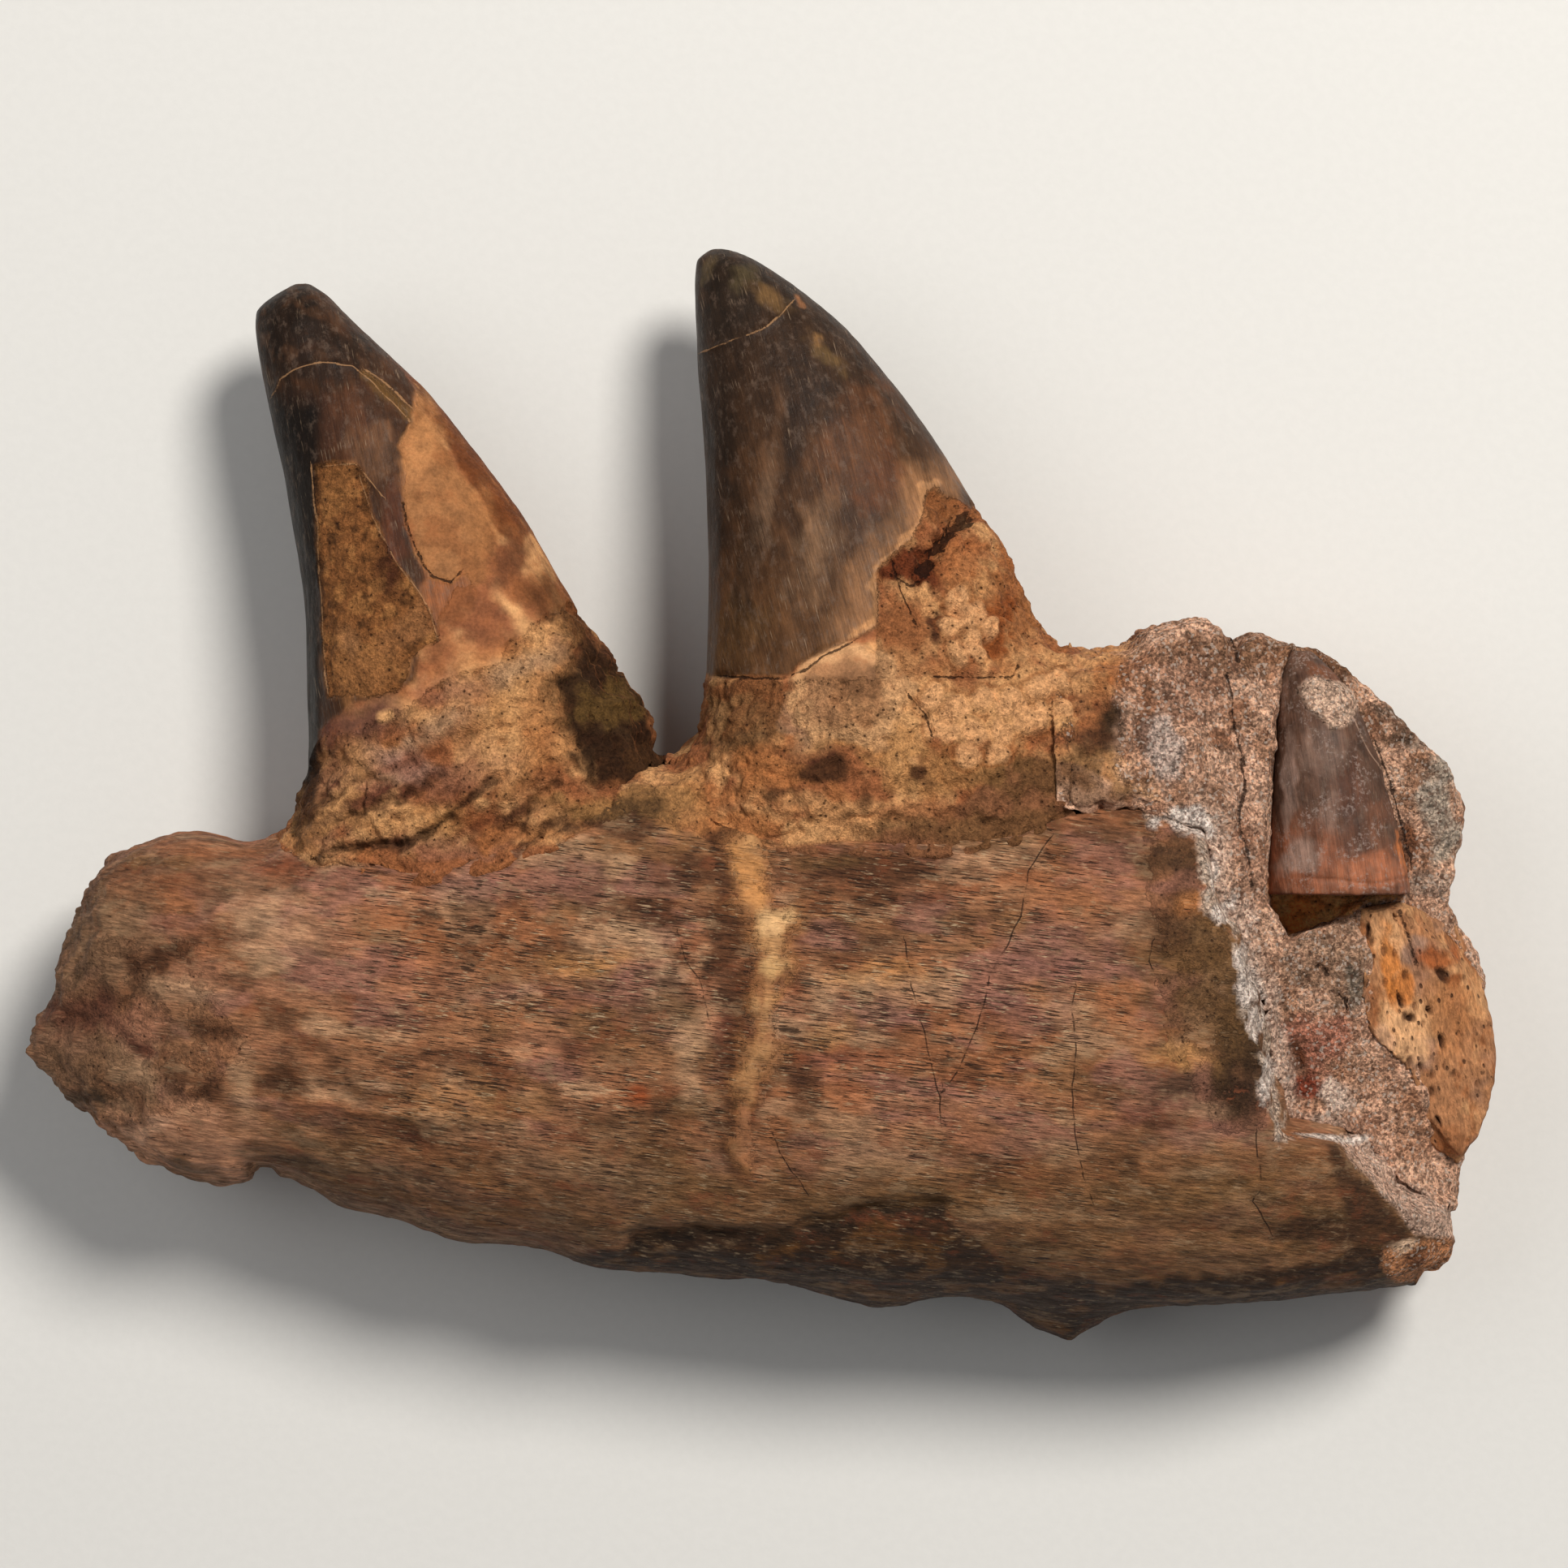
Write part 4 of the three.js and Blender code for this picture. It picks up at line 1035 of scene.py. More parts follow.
FRONT_ENAMEL = [
    (300, 320), (400, 320), (505, 462), (512, 479), (506, 524), (492, 548), (501, 564), (496, 596),
    (498, 650), (511, 682), (532, 712), (556, 717), (575, 708), (585, 722), (560, 722), (541, 760),
    (540, 790), (522, 800), (505, 840), (470, 857), (432, 867), (411, 885), (395, 900), (380, 960),
    (340, 970), (280, 960),
]
FRONT_PATCH = [
    (506, 524), (492, 548), (501, 564), (496, 596), (496, 620), (501, 645), (512, 677), (532, 709),
    (556, 717), (568, 705), (588, 721), (600, 717), (604, 693), (612, 669), (612, 655), (588, 612),
    (562, 570), (535, 530), (512, 485),
]
FRONT_MARGIN = [
    (500, 462), (545, 500), (580, 545), (612, 592), (650, 645), (700, 640), (620, 520), (540, 440),
    (500, 440), (440, 400), (500, 462), (512, 485), (535, 530), (562, 570), (588, 612), (612, 655),
    (644, 676), (660, 650), (640, 600), (560, 500),
]
FRONT_GOLD = [
    (383, 572), (411, 566), (439, 572), (451, 584), (459, 637), (483, 685), (508, 717), (532, 758),
    (540, 790), (510, 812), (490, 850), (455, 858), (404, 858), (399, 806), (395, 733), (391, 653),
]
FRONT_HOLLOW = [
    (693, 750), (717, 774), (709, 806), (677, 838), (695, 887), (717, 935), (741, 967), (814, 967),
    (838, 927), (790, 838), (741, 790),
]
# The root is porous below this border.
FRONT_ROOT_BORDER = [(300, 980), (430, 900), (520, 850), (600, 812), (700, 745), (800, 690)]
FRONT_SLIVER = [(452, 462), (478, 486), (504, 512)]
FRONT_ARCS = [
    [(336, 487), (345, 466), (362, 455), (395, 446), (435, 451), (459, 471), (483, 496), (506, 520)],
    [(451, 455), (472, 470), (491, 487), (508, 504)],
    [(383, 572), (391, 653), (395, 733), (399, 806), (403, 854)],
    [(403, 574), (439, 572), (451, 584), (471, 612)],
    [(443, 584), (459, 637), (483, 685), (508, 717), (532, 758), (541, 792)],
]
FRONT_CRACK = [
    (506, 524), (492, 548), (500, 564), (496, 620), (501, 645), (512, 677), (532, 709), (556, 717),
    (568, 705),
]


def build_front_tooth():
    tooth = Surface("front_tooth", 0.33, 24, 2.0, ("jaw_bone",))
    enamel = np.minimum(tooth.region(FRONT_ENAMEL), -tooth.region(FRONT_GOLD))
    porous = np.minimum(tooth.over(FRONT_ROOT_BORDER), 3)
    porous = 1.6 * tooth.noise(4, 17, 3) - porous
    on, root = share_of(enamel), share_of(porous)
    gold = between(-0.3, 0.5, tooth.region(FRONT_GOLD)) * tooth.up
    relief = weather(tooth, (1 - on) * (1 - root) * 0.5, root * (1 - on), 0 * on, on)
    relief += collar(tooth) + gold * (0.3 * tooth.noise(1.4, 12, 3) + 0.15 * tooth.noise(4, 13, 2))
    relief -= 1.0 * between(-1.2, 1.6, tooth.region(FRONT_HOLLOW, 14)) * tooth.up
    relief += 0.7 * tooth.blob(750, 866, 40, 30) * (0.5 + tooth.noise(2.4, 14, 3))
    relief += sum(tooth.groove(points, 0.14, 0.3) for points in FRONT_ARCS)
    relief -= tooth.groove(FRONT_CRACK, 0.28, 0.22)
    relief += 0.12 * on * tooth.noise(3.0, 15, 2) * tooth.blob(360, 395, 60, 70)
    tooth.push(0.05 + relief)

    tooth.start_paint(CLAY)
    tooth.stain(ORANGE, 0.4, 0, 0.5, 5, 63, 3)
    paint_joins(tooth)
    paint_front_root(tooth)
    paint_front_enamel(tooth, share_of(tooth.region(FRONT_ENAMEL)))
    tooth.keep("enamel", enamel)
    tooth.keep("porous", np.maximum(porous, tooth.region(FRONT_GOLD)))
    tooth.keep_lines("crack", [FRONT_CRACK[3:]])
    tooth.keep_lines("light", FRONT_ARCS)
    tooth_finish(tooth, "front_tooth", "tooth_brown", 12)


def paint_front_root(tooth):
    tooth.dab([
        (GOLD, 0.6, 640, 880, 70, 60), (CREAM, 0.55, 645, 868, 36, 44),
        (PALE, 0.6, 650, 825, 46, 14, 24), (CREAM, 0.6, 615, 925, 46, 22),
        (ORANGE, 0.5, 668, 905, 24, 44), (PINK, 0.6, 560, 850, 40, 24), (ORANGE, 0.5, 596, 800, 50, 18),
        (MAROON, 0.6, 612, 760, 30, 30), ((126, 78, 50), 0.9, 588, 764, 44, 30),
        ((118, 70, 44), 0.7, 545, 800, 26, 26), (CREAM, 0.8, 450, 822, 44, 24),
        (CREAM, 0.6, 500, 880, 40, 14), (CREAM, 0.8, 636, 752, 12, 30, 35),
        # On the next row, the small cream dot at (474, 887) is a painted highlight on the purple-brown
        # spot.
        ((104, 70, 56), 0.85, 452, 890, 44, 24), (CREAM, 0.9, 474, 887, 8, 6),
        ((158, 122, 108), 0.8, 488, 938, 40, 16), (PALE, 0.6, 540, 900, 34, 14, 20),
        (GOLD, 0.5, 430, 940, 34, 20), (PINK, 0.5, 575, 950, 50, 20, 22),
        (RUST, 0.5, 520, 930, 50, 8, 22), (UMBER, 0.8, 384, 990, 14, 50),
        (MAROON, 0.7, 400, 925, 14, 30), (GOLD, 0.5, 730, 990, 60, 14),
    ], 0.8)
    # The hollow beside the middle tooth is painted nearly black: partly the root's dark colour, partly
    # painted shadow cast by the middle tooth.
    inside = between(-2.4, 1.6, tooth.region(FRONT_HOLLOW, 14) + 1.4 * tooth.ragged) * tooth.up
    tooth.paint((40, 25, 14), 0.95 * inside)
    tooth.dab([
        ((92, 70, 38), 0.8, 750, 868, 34, 26), ((70, 46, 26), 0.6, 800, 930, 30, 20),
        (DARK, 0.5, 740, 925, 30, 16), ((142, 92, 58), 0.7, 822, 920, 14, 40, 30),
        (GOLD, 0.4, 700, 780, 14, 20),
    ])


def paint_front_enamel(tooth, on):
    tooth.paint((58, 36, 21), on)
    tooth.dab([
        ((28, 18, 11), 0.9, 345, 395, 60, 66), ((34, 22, 14), 0.7, 400, 440, 50, 40),
        ((42, 28, 18), 0.6, 330, 480, 40, 30), ((66, 40, 24), 0.7, 425, 520, 40, 50),
        ((54, 34, 24), 0.6, 385, 520, 34, 40), ((96, 68, 48), 0.6, 455, 555, 30, 36),
    ])
    tip = on * between(500, 440, tooth.down) * tooth.up
    tooth.stain((62, 42, 28), 0.7 * tip, 0.0, 0.4, 1.8, 64, 4)
    tooth.paint((88, 64, 32), 0.8 * on * between(1.1, 0.2, tooth.line(FRONT_SLIVER, 6)))
    gold = between(-0.3, 0.4, tooth.region(FRONT_GOLD)) * tooth.up
    tooth.paint((130, 86, 50), 0.95 * gold)
    tooth.stain((66, 43, 24), 0.7 * gold, 0.05, 0.35, 1.3, 65, 4)
    tooth.stain((164, 116, 70), 0.75 * gold, -0.05, -0.4, 1.6, 66, 4)
    tooth.dab([
        ((74, 42, 26), 0.9, 486, 650, 16, 60, -8), ((152, 106, 66), 0.6, 448, 825, 44, 26),
        ((134, 92, 54), 0.6, 418, 600, 18, 24), ((148, 104, 68), 0.6, 512, 760, 12, 34, -24),
        ((170, 124, 84), 0.5, 430, 790, 14, 16), ((160, 112, 72), 0.5, 480, 800, 16, 12),
        ((120, 74, 44), 1.0, 548, 738, 26, 30, 30),
    ], 0.6)
    # Painted shade: the tooth's left flank, which turns away from the light, is painted near black.
    left = between(402, 384, tooth.right + 6 * tooth.noise(4, 67, 3)) * between(470, 510, tooth.down)
    tooth.paint((16, 10, 6), 0.95 * left * between(1000, 940, tooth.down))
    # The right margin is painted dark orange-brown; the same colour on the flank past it, where the surface
    # turns away, is painted shade.
    margin = between(-0.3, 0.5, tooth.region(FRONT_MARGIN) + 0.2 * tooth.ragged)
    past = (tooth.up < 0.9) * between(470, 490, tooth.right) * between(680, 640, tooth.down)
    tooth.paint((96, 52, 22), 0.9 * np.maximum(margin, past) * between(430, 470, tooth.down))
    patch = between(-0.5, 0.5, tooth.region(FRONT_PATCH, 3) + 0.3 * tooth.ragged) * tooth.up
    tooth.paint((132, 88, 54), patch)
    tooth.stain((148, 104, 67), 0.85 * patch, -0.3, 0.3, 3.2, 68, 4)
    tooth.dab([
        ((168, 120, 78), 0.7, 520, 545, 18, 44, -14), ((98, 60, 38), 0.8, 632, 690, 26, 30, 20),
        ((128, 80, 48), 0.6, 655, 728, 24, 16), ((156, 108, 68), 0.6, 590, 640, 14, 40, -10),
        # The next dab darkens the margin's far edge: painted shade where the tooth turns away.
        ((88, 54, 30), 0.7, 690, 742, 26, 46, 30),
    ], 0.7)


# ---- The middle tooth ----

MIDDLE_ENAMEL = [
    (800, 300), (1010, 300), (1240, 600), (1197, 629), (1187, 620), (1167, 612), (1152, 599), (1142, 604),
    (1138, 637), (1126, 661), (1098, 685), (1082, 709), (1084, 741), (1078, 770), (1054, 786), (1013, 806),
    (981, 822), (973, 834), (880, 832), (780, 826),
]
MIDDLE_RIM = [
    (1052, 787), (1078, 770), (1084, 741), (1082, 709), (1098, 685), (1126, 661), (1138, 637),
    (1142, 604), (1152, 599),
]
MIDDLE_WIDE_CRACK = [(1197, 633), (1167, 663), (1151, 687), (1134, 715)]
MIDDLE_CRACKS = [
    [(1134, 717), (1122, 722), (1098, 709)], [(977, 832), (996, 824), (1013, 808), (1054, 790)],
    [(1151, 834), (1200, 836), (1247, 834), (1255, 818)], [(1098, 690), (1110, 730), (1128, 770)],
    [(886, 832), (930, 836), (972, 836)], [(1118, 854), (1140, 880), (1148, 905)],
]
MIDDLE_LIGHTS = [
    [(941, 405), (955, 395), (965, 387), (977, 371)], [(864, 435), (880, 428), (901, 419), (941, 405)],
    [(981, 830), (1020, 806), (1070, 796), (1100, 820), (1118, 854), (1102, 903)],
]
POPCORN = [
    (1178, 738, 18), (1200, 765, 20), (1176, 775, 17), (1204, 796, 16), (1180, 806, 14), (1222, 775, 15),
    (1150, 860, 18), (1182, 868, 20), (1214, 858, 18), (1245, 866, 20), (1280, 850, 18), (1302, 838, 18),
    (1325, 856, 17), (1166, 896, 20), (1200, 900, 22), (1238, 898, 20), (1272, 888, 20), (1306, 880, 18),
    (1190, 930, 18), (1228, 928, 16), (1340, 826, 16), (1362, 846, 17), (1384, 832, 14), (1394, 862, 14),
]


def build_middle_tooth():
    tooth = Surface("middle_tooth", 0.34, 24, 2.0, ("jaw_bone", "rock_matrix"))
    enamel = tooth.region(MIDDLE_ENAMEL)
    spongy = np.where(tooth.right > 1080, 2, tooth.down / 10 - 84) + 0.5 * tooth.ragged
    on, root = share_of(enamel), share_of(spongy)
    lumps = np.maximum.reduce([tooth.disc(*lump) for lump in POPCORN])
    dome = np.clip(tooth.disc(1046, 856, 74, 64), 0, 1) * tooth.up
    relief = weather(tooth, 0.4 * (1 - on) * (1 - root), root * (1 - on), 0 * on, on)
    relief += 0.8 * np.sqrt(np.clip(lumps, 0, 1)) * tooth.up + 1.4 * np.sqrt(dome)
    relief += tooth.groove(MIDDLE_RIM, 0.4, 0.5) - tooth.groove(MIDDLE_WIDE_CRACK, 1.7, 0.8, 12, 1.6)
    relief -= sum(tooth.groove(points, 0.5, 0.35) for points in MIDDLE_CRACKS)
    relief += sum(tooth.groove(points, 0.15, 0.3) for points in MIDDLE_LIGHTS)
    relief += collar(tooth) * between(900, 860, tooth.right)
    flesh = tooth.blob(1140, 670, 46, 60) * (1 - on)
    relief += flesh * 0.6 * tooth.noise(2.2, 16, 3) - 0.6 * flesh
    tooth.push(0.05 + relief)
    enamel = tooth.region(MIDDLE_ENAMEL)  # again, because the surface has moved

    tooth.start_paint(CLAY)
    tooth.stain(ORANGE, 0.3, -0.1, 0.5, 5, 63, 3)
    tooth.paint((126, 86, 60), between(0.5, -0.5, tooth.over(POROUS_BORDER)))
    paint_joins(tooth)
    paint_middle_root(tooth, lumps)
    paint_middle_enamel(tooth, share_of(enamel))
    tooth.keep("enamel", enamel)
    tooth.keep("porous", spongy)
    wide_crack = tooth.line(MIDDLE_WIDE_CRACK, 14, 1.6) - 0.45 - 0.6 * tooth.ragged
    tooth.keep_lines("crack", MIDDLE_CRACKS, wide_crack)
    tooth.keep_lines("light", MIDDLE_LIGHTS, tooth.line(MIDDLE_RIM) + 0.1)
    tooth_finish(tooth, "middle_tooth", "tooth_dark", 15)


def paint_middle_root(tooth, lumps):
    tooth.dab([
        ((142, 92, 58), 0.8, 1116, 770, 34, 44), ((150, 100, 62), 0.8, 1245, 735, 44, 60),
        ((98, 50, 28), 0.9, 1128, 690, 34, 34), ((132, 84, 50), 0.8, 1150, 625, 30, 22),
        ((184, 138, 94), 0.8, 1190, 715, 22, 30, 30), ((166, 118, 78), 0.7, 1095, 815, 26, 16),
        ((84, 52, 34), 0.85, 1155, 776, 12, 20), ((130, 72, 36), 0.8, 1228, 770, 16, 44),
        ((150, 96, 58), 0.7, 1250, 680, 30, 40), ((160, 100, 60), 0.6, 1180, 690, 26, 26),
        ((118, 74, 44), 0.7, 930, 850, 50, 14),
    ])
    dome = tooth.disc(1046, 856, 70, 60) + 0.2 * tooth.ragged
    tooth.paint((162, 122, 88), 0.85 * between(-0.1, 0.15, dome) * tooth.up)
    tooth.paint((202, 160, 118), 0.8 * between(-0.15, 0.05, dome) * between(0.35, 0.1, dome) * tooth.up)
    shade = tooth.disc(1072, 842, 36, 34) + 0.3 * tooth.ragged
    tooth.paint((122, 88, 62), 0.8 * between(-0.2, 0.5, shade) * tooth.up)
    tooth.paint((208, 160, 116), 0.9 * between(-0.05, 0.35, lumps + 0.25 * tooth.ragged) * tooth.up)
    tooth.paint((132, 80, 44), 0.6 * between(-0.45, -0.1, lumps) * between(0.05, -0.15, lumps) * tooth.up)


def paint_middle_enamel(tooth, on):
    tooth.paint((66, 45, 29), on)
    tooth.paint((84, 58, 36), 0.85 * on * between(640, 800, tooth.down))
    tooth.paint((40, 28, 19), 0.8 * on * between(620, 440, tooth.down))
    rim = tooth.line(MIDDLE_RIM, 12) + 0.8 * tooth.ragged
    tooth.paint((126, 92, 64), 0.8 * on * between(5.5, 1.5, rim))
    tooth.paint((168, 126, 88), 0.85 * on * between(0.9, 0.3, rim))
    tooth.dab([
        # On the next row, the pale grey dab at (1010, 675) is a painted sheen and the dark one at (880,
        # 560) is painted shade along the left edge.
        ((104, 80, 60), 0.7, 1010, 675, 26, 70, -14), ((38, 27, 19), 0.7, 880, 560, 30, 130),
        ((84, 54, 34), 0.6, 1050, 540, 40, 70, -24), ((76, 56, 34), 0.5, 900, 780, 60, 40),
        ((84, 60, 42), 0.6, 945, 600, 14, 90, -8), ((40, 28, 20), 0.6, 985, 520, 18, 80, -16),
        ((56, 38, 26), 0.5, 1050, 640, 14, 60, -20), ((96, 76, 48), 0.6, 1012, 432, 28, 14, -40),
        ((34, 25, 18), 0.8, 920, 350, 50, 30), ((36, 28, 22), 0.6, 900, 390, 30, 30),
        ((92, 54, 32), 0.4, 1085, 590, 20, 40, -24), ((84, 72, 52), 0.5, 872, 335, 8, 16),
        ((84, 74, 52), 0.5, 925, 345, 14, 18, -30), ((104, 80, 50), 0.6, 945, 370, 22, 12, -40),
        ((100, 80, 64), 0.5, 940, 640, 12, 60, -10), ((44, 32, 22), 0.5, 920, 700, 14, 70, -4),
    ], 0.5)
    tooth.dab([((128, 88, 58), 0.6, 977, 371, 7, 5), ((110, 82, 52), 0.6, 1000, 418, 12, 10)])


def tooth_finish(tooth, node, slot, turn):
    look = Look(slot)
    tint = look.tint()
    style = look.laid(look.within("porous", 0.5, 1.2), look.dentine(tint), look.porous(tint))
    style = look.laid(look.within("enamel", 0.2), style, look.enamel(tint, turn))
    style = look.lined(style, "light", (172, 128, 88), 0.12, -0.03, 0.55)
    style = look.lined(style, "crack", (30, 15, 8), 0.16, 0.2)
    tooth.finish(node, slot, look.done(style, 0.12))


# ---- The small tooth at the right, and the spongy root below it ----

REAR_SAND = [(1600, 850), (1625, 838), (1668, 842), (1678, 868), (1665, 890), (1640, 895), (1610, 872)]
REAR_SEAM = [(1665, 880), (1679, 910), (1690, 930), (1711, 960)]
REAR_CRACKS = [
    [(1725, 1036), (1733, 1055), (1739, 1075)], [(1607, 1082), (1640, 1084), (1690, 1090), (1740, 1082)],
]


def build_rear_tooth():
    tooth = Surface("rear_tooth", 0.27, 20, 1.5)
    crust = tooth.region(REAR_SAND, 7)
    sand = share_of(crust)
    relief = weather(tooth, 0 * sand, 0 * sand, sand, 1 - sand)
    relief += 0.16 * tooth.noise(1.8, 72, 3) + tooth.groove(REAR_SEAM, 0.35, 0.35) + 0.5 * sand
    relief -= sum(tooth.groove(points, 0.3, 0.25) for points in REAR_CRACKS)
    tooth.push(relief)

    tooth.start_paint((80, 58, 47))
    tooth.paint((124, 76, 54), 0.8 * between(1000, 1060, tooth.down - 0.3 * (tooth.right - 1650)))
    tooth.stain((66, 46, 37), 0.6, 0, 0.5, 3, 73, 4)
    tooth.dab([
        # The pale grey dabs along the crown's left side are partly dust and partly painted highlight.
        ((118, 98, 90), 0.8, 1586, 960, 11, 44), ((128, 106, 97), 0.75, 1604, 1054, 26, 26),
        ((104, 84, 75), 0.6, 1625, 930, 24, 34), ((78, 50, 38), 0.7, 1665, 990, 22, 50, 8),
        ((146, 92, 66), 0.7, 1690, 1070, 44, 20), ((166, 100, 56), 0.8, 1738, 1040, 10, 26),
        ((92, 56, 36), 0.8, 1655, 822, 40, 14), ((128, 98, 84), 0.6, 1580, 860, 12, 30),
        ((120, 96, 86), 0.5, 1640, 1000, 10, 30), ((100, 66, 50), 0.6, 1700, 1000, 18, 30),
    ])
    tooth.paint((212, 184, 166), sand)
    tooth.keep("sand", crust)
    tooth.keep_lines("crack", REAR_CRACKS[:1])
    tooth.keep_lines("light", [REAR_SEAM])
    look = Look("tooth_grey")
    tint = look.tint()
    colour, rough, height = look.enamel(tint, 8)
    # Pale grey specks over the crown: partly dust, partly painted sheen.
    dust_and_sheen = look.ramp(look.noise(0.5, 4, 0.7), 0.5, 0.62)
    dust_and_sheen = look.times(dust_and_sheen, look.ramp(look.noise(3.2, 3, 0.6), 0.46, 0.58))
    colour = look.over(look.times(dust_and_sheen, 0.5), colour, (150, 130, 120))
    style = (colour, look.math("ADD", rough, 0.12), height)
    style = look.laid(look.within("sand", 0.4), style, look.sand(tint))
    style = look.lined(style, "light", (170, 138, 116), 0.1, -0.03, 0.5)
    style = look.lined(style, "crack", (40, 22, 13), 0.1, 0.15)
    tooth.finish("rear_tooth", "tooth_grey", look.done(style, 0.2))


ROOT_CRACK = [(1725, 1125), (1733, 1150), (1740, 1170), (1745, 1188)]
ROOT_PORES = [
    (1683, 1146, 4, 9), (1687, 1178, 4, 8), (1776, 1200, 9, 13, 30), (1728, 1231, 6, 10, 20),
    (1741, 1252, 7, 6), (1785, 1290, 5, 10, 10), (1755, 1309, 5, 9), (1777, 1381, 5, 9, 10),
    (1765, 1246, 3, 8, 15),
]


def build_root():
    root = Surface("rear_tooth_root", 0.27, 16, 1.2, ("rock_matrix",))
    fibres = 0.36 * root.noise(2.2, 81, 3, (1, 3, 1), 12) + 0.2 * root.noise(0.9, 82, 2, (1, 2.4, 1), 12)
    pores = np.clip(np.maximum.reduce([root.disc(*pore) for pore in ROOT_PORES]) * 1.6, 0, 1) * root.up
    small, luck = cell_distance(root.co / (1, 1.5, 1), 1.5, 83)
    small = between(0.36, 0.16, small) * (luck > 0.6)
    holes = 0.45 * small + 1.1 * pores + root.groove(ROOT_CRACK, 0.7, 0.35)
    root.push(fibres - holes + 0.3 * root.noise(6, 84, 2))

    root.start_paint((172, 124, 88))
    root.stain((204, 158, 114), 0.8, -0.2, 0.4, 3, 85, 4, (1, 1.6, 1), 12)
    root.stain((144, 86, 46), 0.7, 0.1, 0.5, 2.2, 86, 4, (1, 1.8, 1), 12)
    root.stain((152, 118, 100), 0.5, 0.1, 0.5, 4, 87, 3)
    root.dab([
        ((136, 70, 28), 0.8, 1790, 1206, 14, 14), ((150, 122, 108), 0.7, 1745, 1172, 20, 16),
        ((146, 118, 104), 0.6, 1752, 1298, 22, 16), ((214, 166, 122), 0.6, 1710, 1150, 20, 30),
        ((226, 180, 136), 0.7, 1735, 1268, 30, 40), ((130, 76, 40), 0.5, 1690, 1236, 8, 30),
        ((176, 120, 76), 0.6, 1790, 1240, 26, 50), ((150, 96, 58), 0.5, 1790, 1400, 20, 30),
        ((196, 122, 58), 0.7, 1730, 1215, 20, 24), ((200, 126, 60), 0.7, 1712, 1190, 12, 40, 10),
        ((206, 164, 132), 0.7, 1701, 1279, 16, 14), ((156, 84, 38), 0.7, 1775, 1180, 18, 18),
    ])
    root.paint((54, 26, 10), 0.95 * np.clip(pores * 1.5, 0, 1))
    root.paint((74, 38, 16), 0.7 * small)
    root.keep_lines("crack", [ROOT_CRACK])
    look = Look("spongy_root")
    style = look.lined(look.sponge(look.tint()), "crack", (44, 20, 9), 0.3, 0.25)
    root.finish("rear_tooth_root", "spongy_root", look.done(style, 0.25))


# ---- The sandstone ----

ROCK_CRACKS = [
    [
        (1512, 830), (1518, 870), (1523, 910), (1530, 935), (1534, 970), (1528, 1000), (1530, 1030),
        (1538, 1052), (1544, 1090),
    ],
    [(1690, 905), (1708, 950), (1722, 990), (1730, 1030), (1740, 1070)],
]
ROCK_SLOTS = [[(1628, 1186), (1634, 1196), (1637, 1204)], [(1651, 1226), (1656, 1236), (1660, 1246)]]
ROCK_NOTCH = [(1500, 768), (1512, 772), (1520, 790), (1526, 815)]
ROCK_HOLLOW = [
    (1562, 1105), (1574, 1135), (1590, 1158), (1600, 1154), (1619, 1147), (1640, 1136), (1665, 1128),
    (1680, 1116), (1690, 1112), (1730, 1105), (1700, 1085), (1600, 1080), (1562, 1084),
]
CRATER_RIM = [(1752, 930), (1778, 950), (1788, 990), (1790, 1030), (1780, 1076), (1768, 1096)]


def build_rock():
    rock = Surface("rock_matrix", 0.33, 18, 1.6, ("middle_tooth", "rear_tooth_root", "jaw_bone"))
    rock.overlap("rear_tooth", 0.8)
    rock.overlap("jaw_bone", 0.6)
    border = np.interp(rock.down, [700, 800, 860, 900, 950, 1000], [1420, 1400, 1388, 1400, 1394, 1404])
    right = (rock.right - border) * PIXEL + 3.5 * rock.noise(4, 95, 4)
    sand = right + 9 * between(0.0, -0.4, rock.normal[:, 2])
    on = share_of(sand)
    hollow = between(-0.2, 0.5, rock.region(ROCK_HOLLOW, 3)) * rock.up
    relief = weather(rock, 0 * on, 1 - on, on * (1 - 0.6 * hollow), 0 * on)
    relief -= sum(rock.groove(points, 0.6, 0.4, 3) for points in ROCK_CRACKS)
    relief -= sum(rock.groove(points, 0.9, 0.35, 8, 1.5) for points in ROCK_SLOTS)
    relief -= rock.groove(ROCK_NOTCH, 0.8, 0.6, 4)
    relief += rock.groove(CRATER_RIM, 0.6, 0.8, 4)
    relief += 0.5 * rock.blob(1620, 1345, 70, 26) * rock.noise(2.4, 97, 3)
    relief -= 0.8 * rock.blob(1590, 1306, 14, 20)
    relief += 0.3 * rock.blob(1480, 900, 60, 60) * rock.noise(3.2, 98, 3)
    rock.push(relief)

    rock.start_paint((224, 184, 160))
    paint_rock(rock, on, hollow)
    rock.keep("sand", sand)
    slots = np.minimum.reduce([rock.line(points, 8, 1.5) - 0.15 for points in ROCK_SLOTS])
    rock.keep_lines("crack", [*ROCK_CRACKS, ROCK_NOTCH], slots, 3)
    rock.keep("hollow", hollow)
    look = Look("sandy_rock")
    tint = look.tint()
    style = look.laid(look.within("sand", 0.4), look.porous(tint), look.sand(tint))
    style = look.laid(look.number("hollow"), style, look.porous(tint))
    style = look.lined(style, "crack", (44, 25, 15), 0.22, 0.3)
    rock.finish("rock_matrix", "sandy_rock", look.done(style, 0.2))


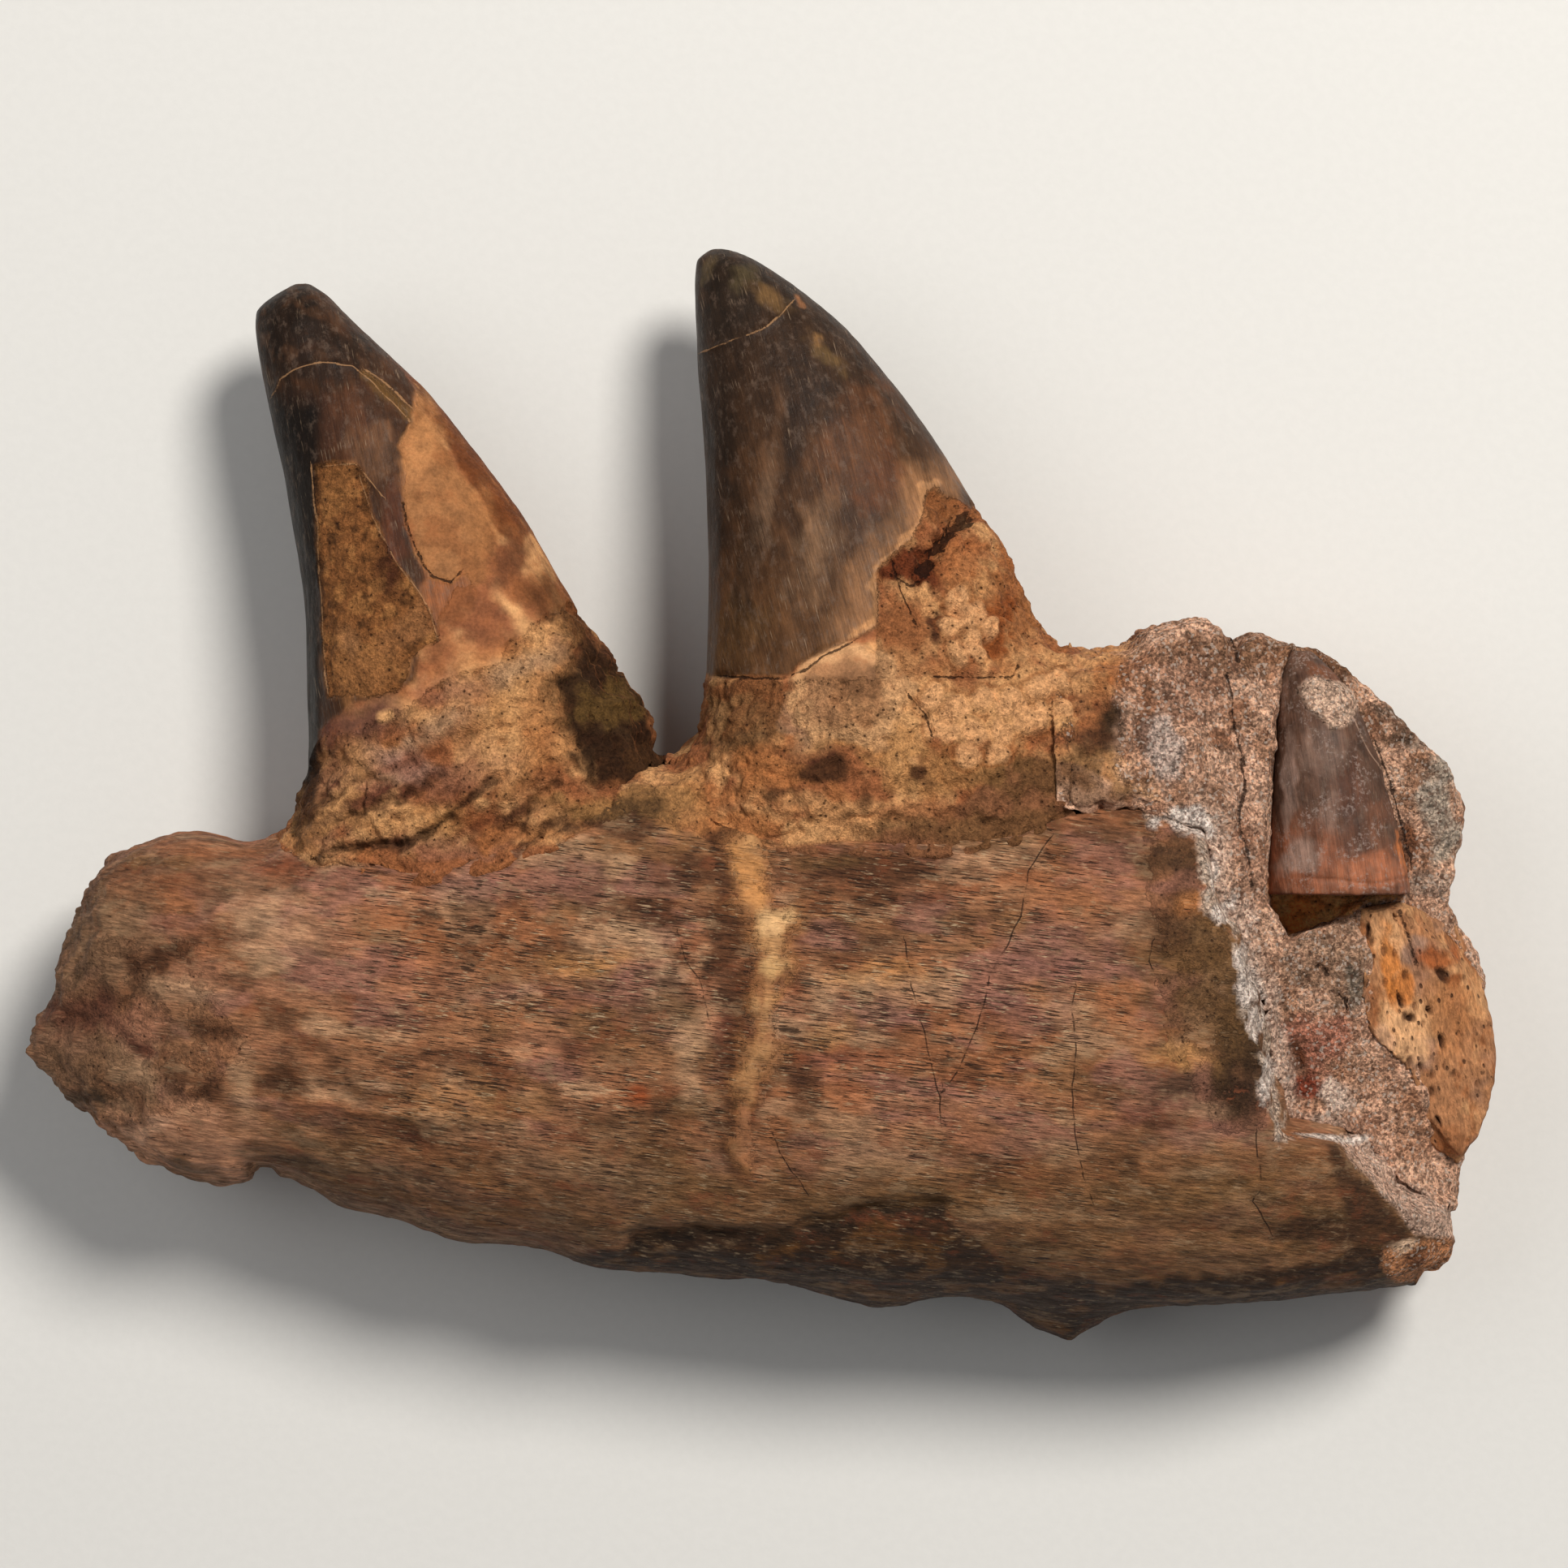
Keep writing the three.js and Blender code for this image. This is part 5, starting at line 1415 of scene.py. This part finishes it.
def paint_rock(rock, on, hollow):
    rock.stain((200, 160, 138), 0.7, -0.1, 0.5, 5, 99, 4)
    rock.stain((150, 110, 84), 0.7, 0.0, 0.4, 3.4, 100, 4)
    rock.stain((128, 78, 48), 0.5, 0.2, 0.5, 2.4, 105, 4)
    stone = rock.tint.copy()
    paint_joins(rock)
    beside_tooth = between(2.6, -2.6, (rock.right - 1405) * PIXEL + 3.5 * rock.noise(4, 95, 4))[:, None]
    rock.tint = rock.tint * beside_tooth + stone * (1 - beside_tooth)
    rock.dab([
        ((136, 102, 78), 0.7, 1560, 810, 120, 30), ((120, 84, 58), 0.7, 1670, 810, 60, 14),
        # On the next row, the pale grey dab at (1432, 918) is a painted highlight, a glint on the sand.
        ((164, 126, 106), 0.6, 1470, 850, 50, 40), ((200, 180, 172), 0.9, 1432, 918, 22, 36),
        ((112, 72, 46), 0.6, 1408, 870, 10, 60), ((174, 144, 126), 0.6, 1490, 1000, 50, 30),
        ((168, 132, 112), 0.6, 1540, 1120, 20, 60), ((208, 188, 174), 0.7, 1450, 1012, 40, 12),
        ((150, 124, 104), 0.6, 1640, 1190, 60, 44), ((174, 132, 110), 0.7, 1640, 1270, 60, 30),
        ((132, 66, 48), 0.9, 1610, 1338, 26, 15), ((232, 210, 198), 0.95, 1655, 1345, 24, 20),
        ((178, 120, 102), 0.7, 1620, 1280, 40, 34), ((226, 200, 186), 0.7, 1725, 1485, 34, 24, -40),
        ((190, 150, 126), 0.6, 1690, 1330, 30, 30), ((168, 126, 104), 0.7, 1640, 1382, 50, 14),
        # The first dab on the next row is painted shadow in the notch beside the broken wall.
        ((92, 54, 34), 0.8, 1591, 1306, 10, 18), ((200, 176, 160), 0.7, 1612, 1398, 40, 6),
        ((186, 140, 118), 0.6, 1690, 1440, 50, 24, -45), ((162, 118, 90), 0.5, 1740, 1380, 30, 40),
        ((176, 164, 152), 0.9, 1776, 995, 20, 60), ((164, 148, 136), 0.8, 1732, 905, 34, 16, -40),
        ((120, 72, 42), 0.7, 1738, 1040, 12, 30), ((134, 94, 66), 0.5, 1750, 950, 14, 16),
        ((128, 116, 104), 0.8, 1670, 1212, 14, 24),
        ((190, 168, 154), 0.6, 1765, 1090, 20, 16), ((100, 68, 44), 0.6, 1730, 900, 30, 24),
    ])
    to_break = rock.line(BREAK_EDGE[2:], 8) + 1.2 * rock.noise(2.4, 106, 3)
    rock.paint((222, 196, 182), 0.85 * between(3.6, 1.6, to_break) * on)
    rock.paint((232, 222, 218), between(-0.1, 0.3, crust_on(rock)) * rock.up)
    # Painted light: the cavity is painted far paler than its own orange-brown, to make up for the shade
    # deep inside it.
    rock.paint((255, 186, 112), 0.95 * hollow)
    rock.stain((255, 216, 150), 0.8 * hollow, 0.1, 0.5, 2.0, 103, 3)
    rock.stain((176, 92, 42), 0.6 * hollow, 0.0, -0.4, 2.6, 104, 3)


# ---- The studio ----

FLOOR_HALF = 3.0


def build_floor():
    mesh = bpy.data.meshes.new("floor")
    corners = [(-FLOOR_HALF, -FLOOR_HALF, 0), (FLOOR_HALF, -FLOOR_HALF, 0), (FLOOR_HALF, FLOOR_HALF, 0),
               (-FLOOR_HALF, FLOOR_HALF, 0)]
    mesh.from_pydata(corners, [], [(0, 1, 2, 3)])
    floor = bpy.data.objects.new("floor", mesh)
    bpy.context.scene.collection.objects.link(floor)
    look = Look("floor_paper")
    tooth = look.noise(1.2, 2, 0.5)
    colour = look.scaled(look.over(1.0, tooth, (214, 212, 208)), look.spread(tooth, 0.98, 1.0))
    mesh.materials.append(look.done((colour, look.spread(tooth, 0.85, 0.95), look.times(tooth, 0.02)), 0.2))


def build_light(name, place, size, watts, colour=(1, 1, 1)):
    data = bpy.data.lights.new(name, "AREA")
    data.shape = "DISK"
    data.size = size
    data.energy = watts
    data.color = colour
    light = bpy.data.objects.new(name, data)
    light.location = place
    light.rotation_euler = (-Vector(place)).to_track_quat("-Z", "Y").to_euler()
    bpy.context.scene.collection.objects.link(light)


def build_lights():
    build_light("key", (0.38, 0.5, 0.95), 0.35, 14, (1.0, 0.97, 0.92))
    build_light("fill", (-0.6, 0.2, 0.8), 0.8, 2.5)
    world = bpy.data.worlds.new("studio")
    world.use_nodes = True
    world.node_tree.nodes["Background"].inputs["Color"].default_value = (0.95, 0.97, 1.0, 1)
    world.node_tree.nodes["Background"].inputs["Strength"].default_value = 0.18
    bpy.context.scene.world = world
    bpy.context.scene.view_settings.view_transform = "Standard"


build_camera()
build_jaw()
build_front_tooth()
build_middle_tooth()
build_rear_tooth()
build_root()
build_rock()
build_floor()
build_lights()
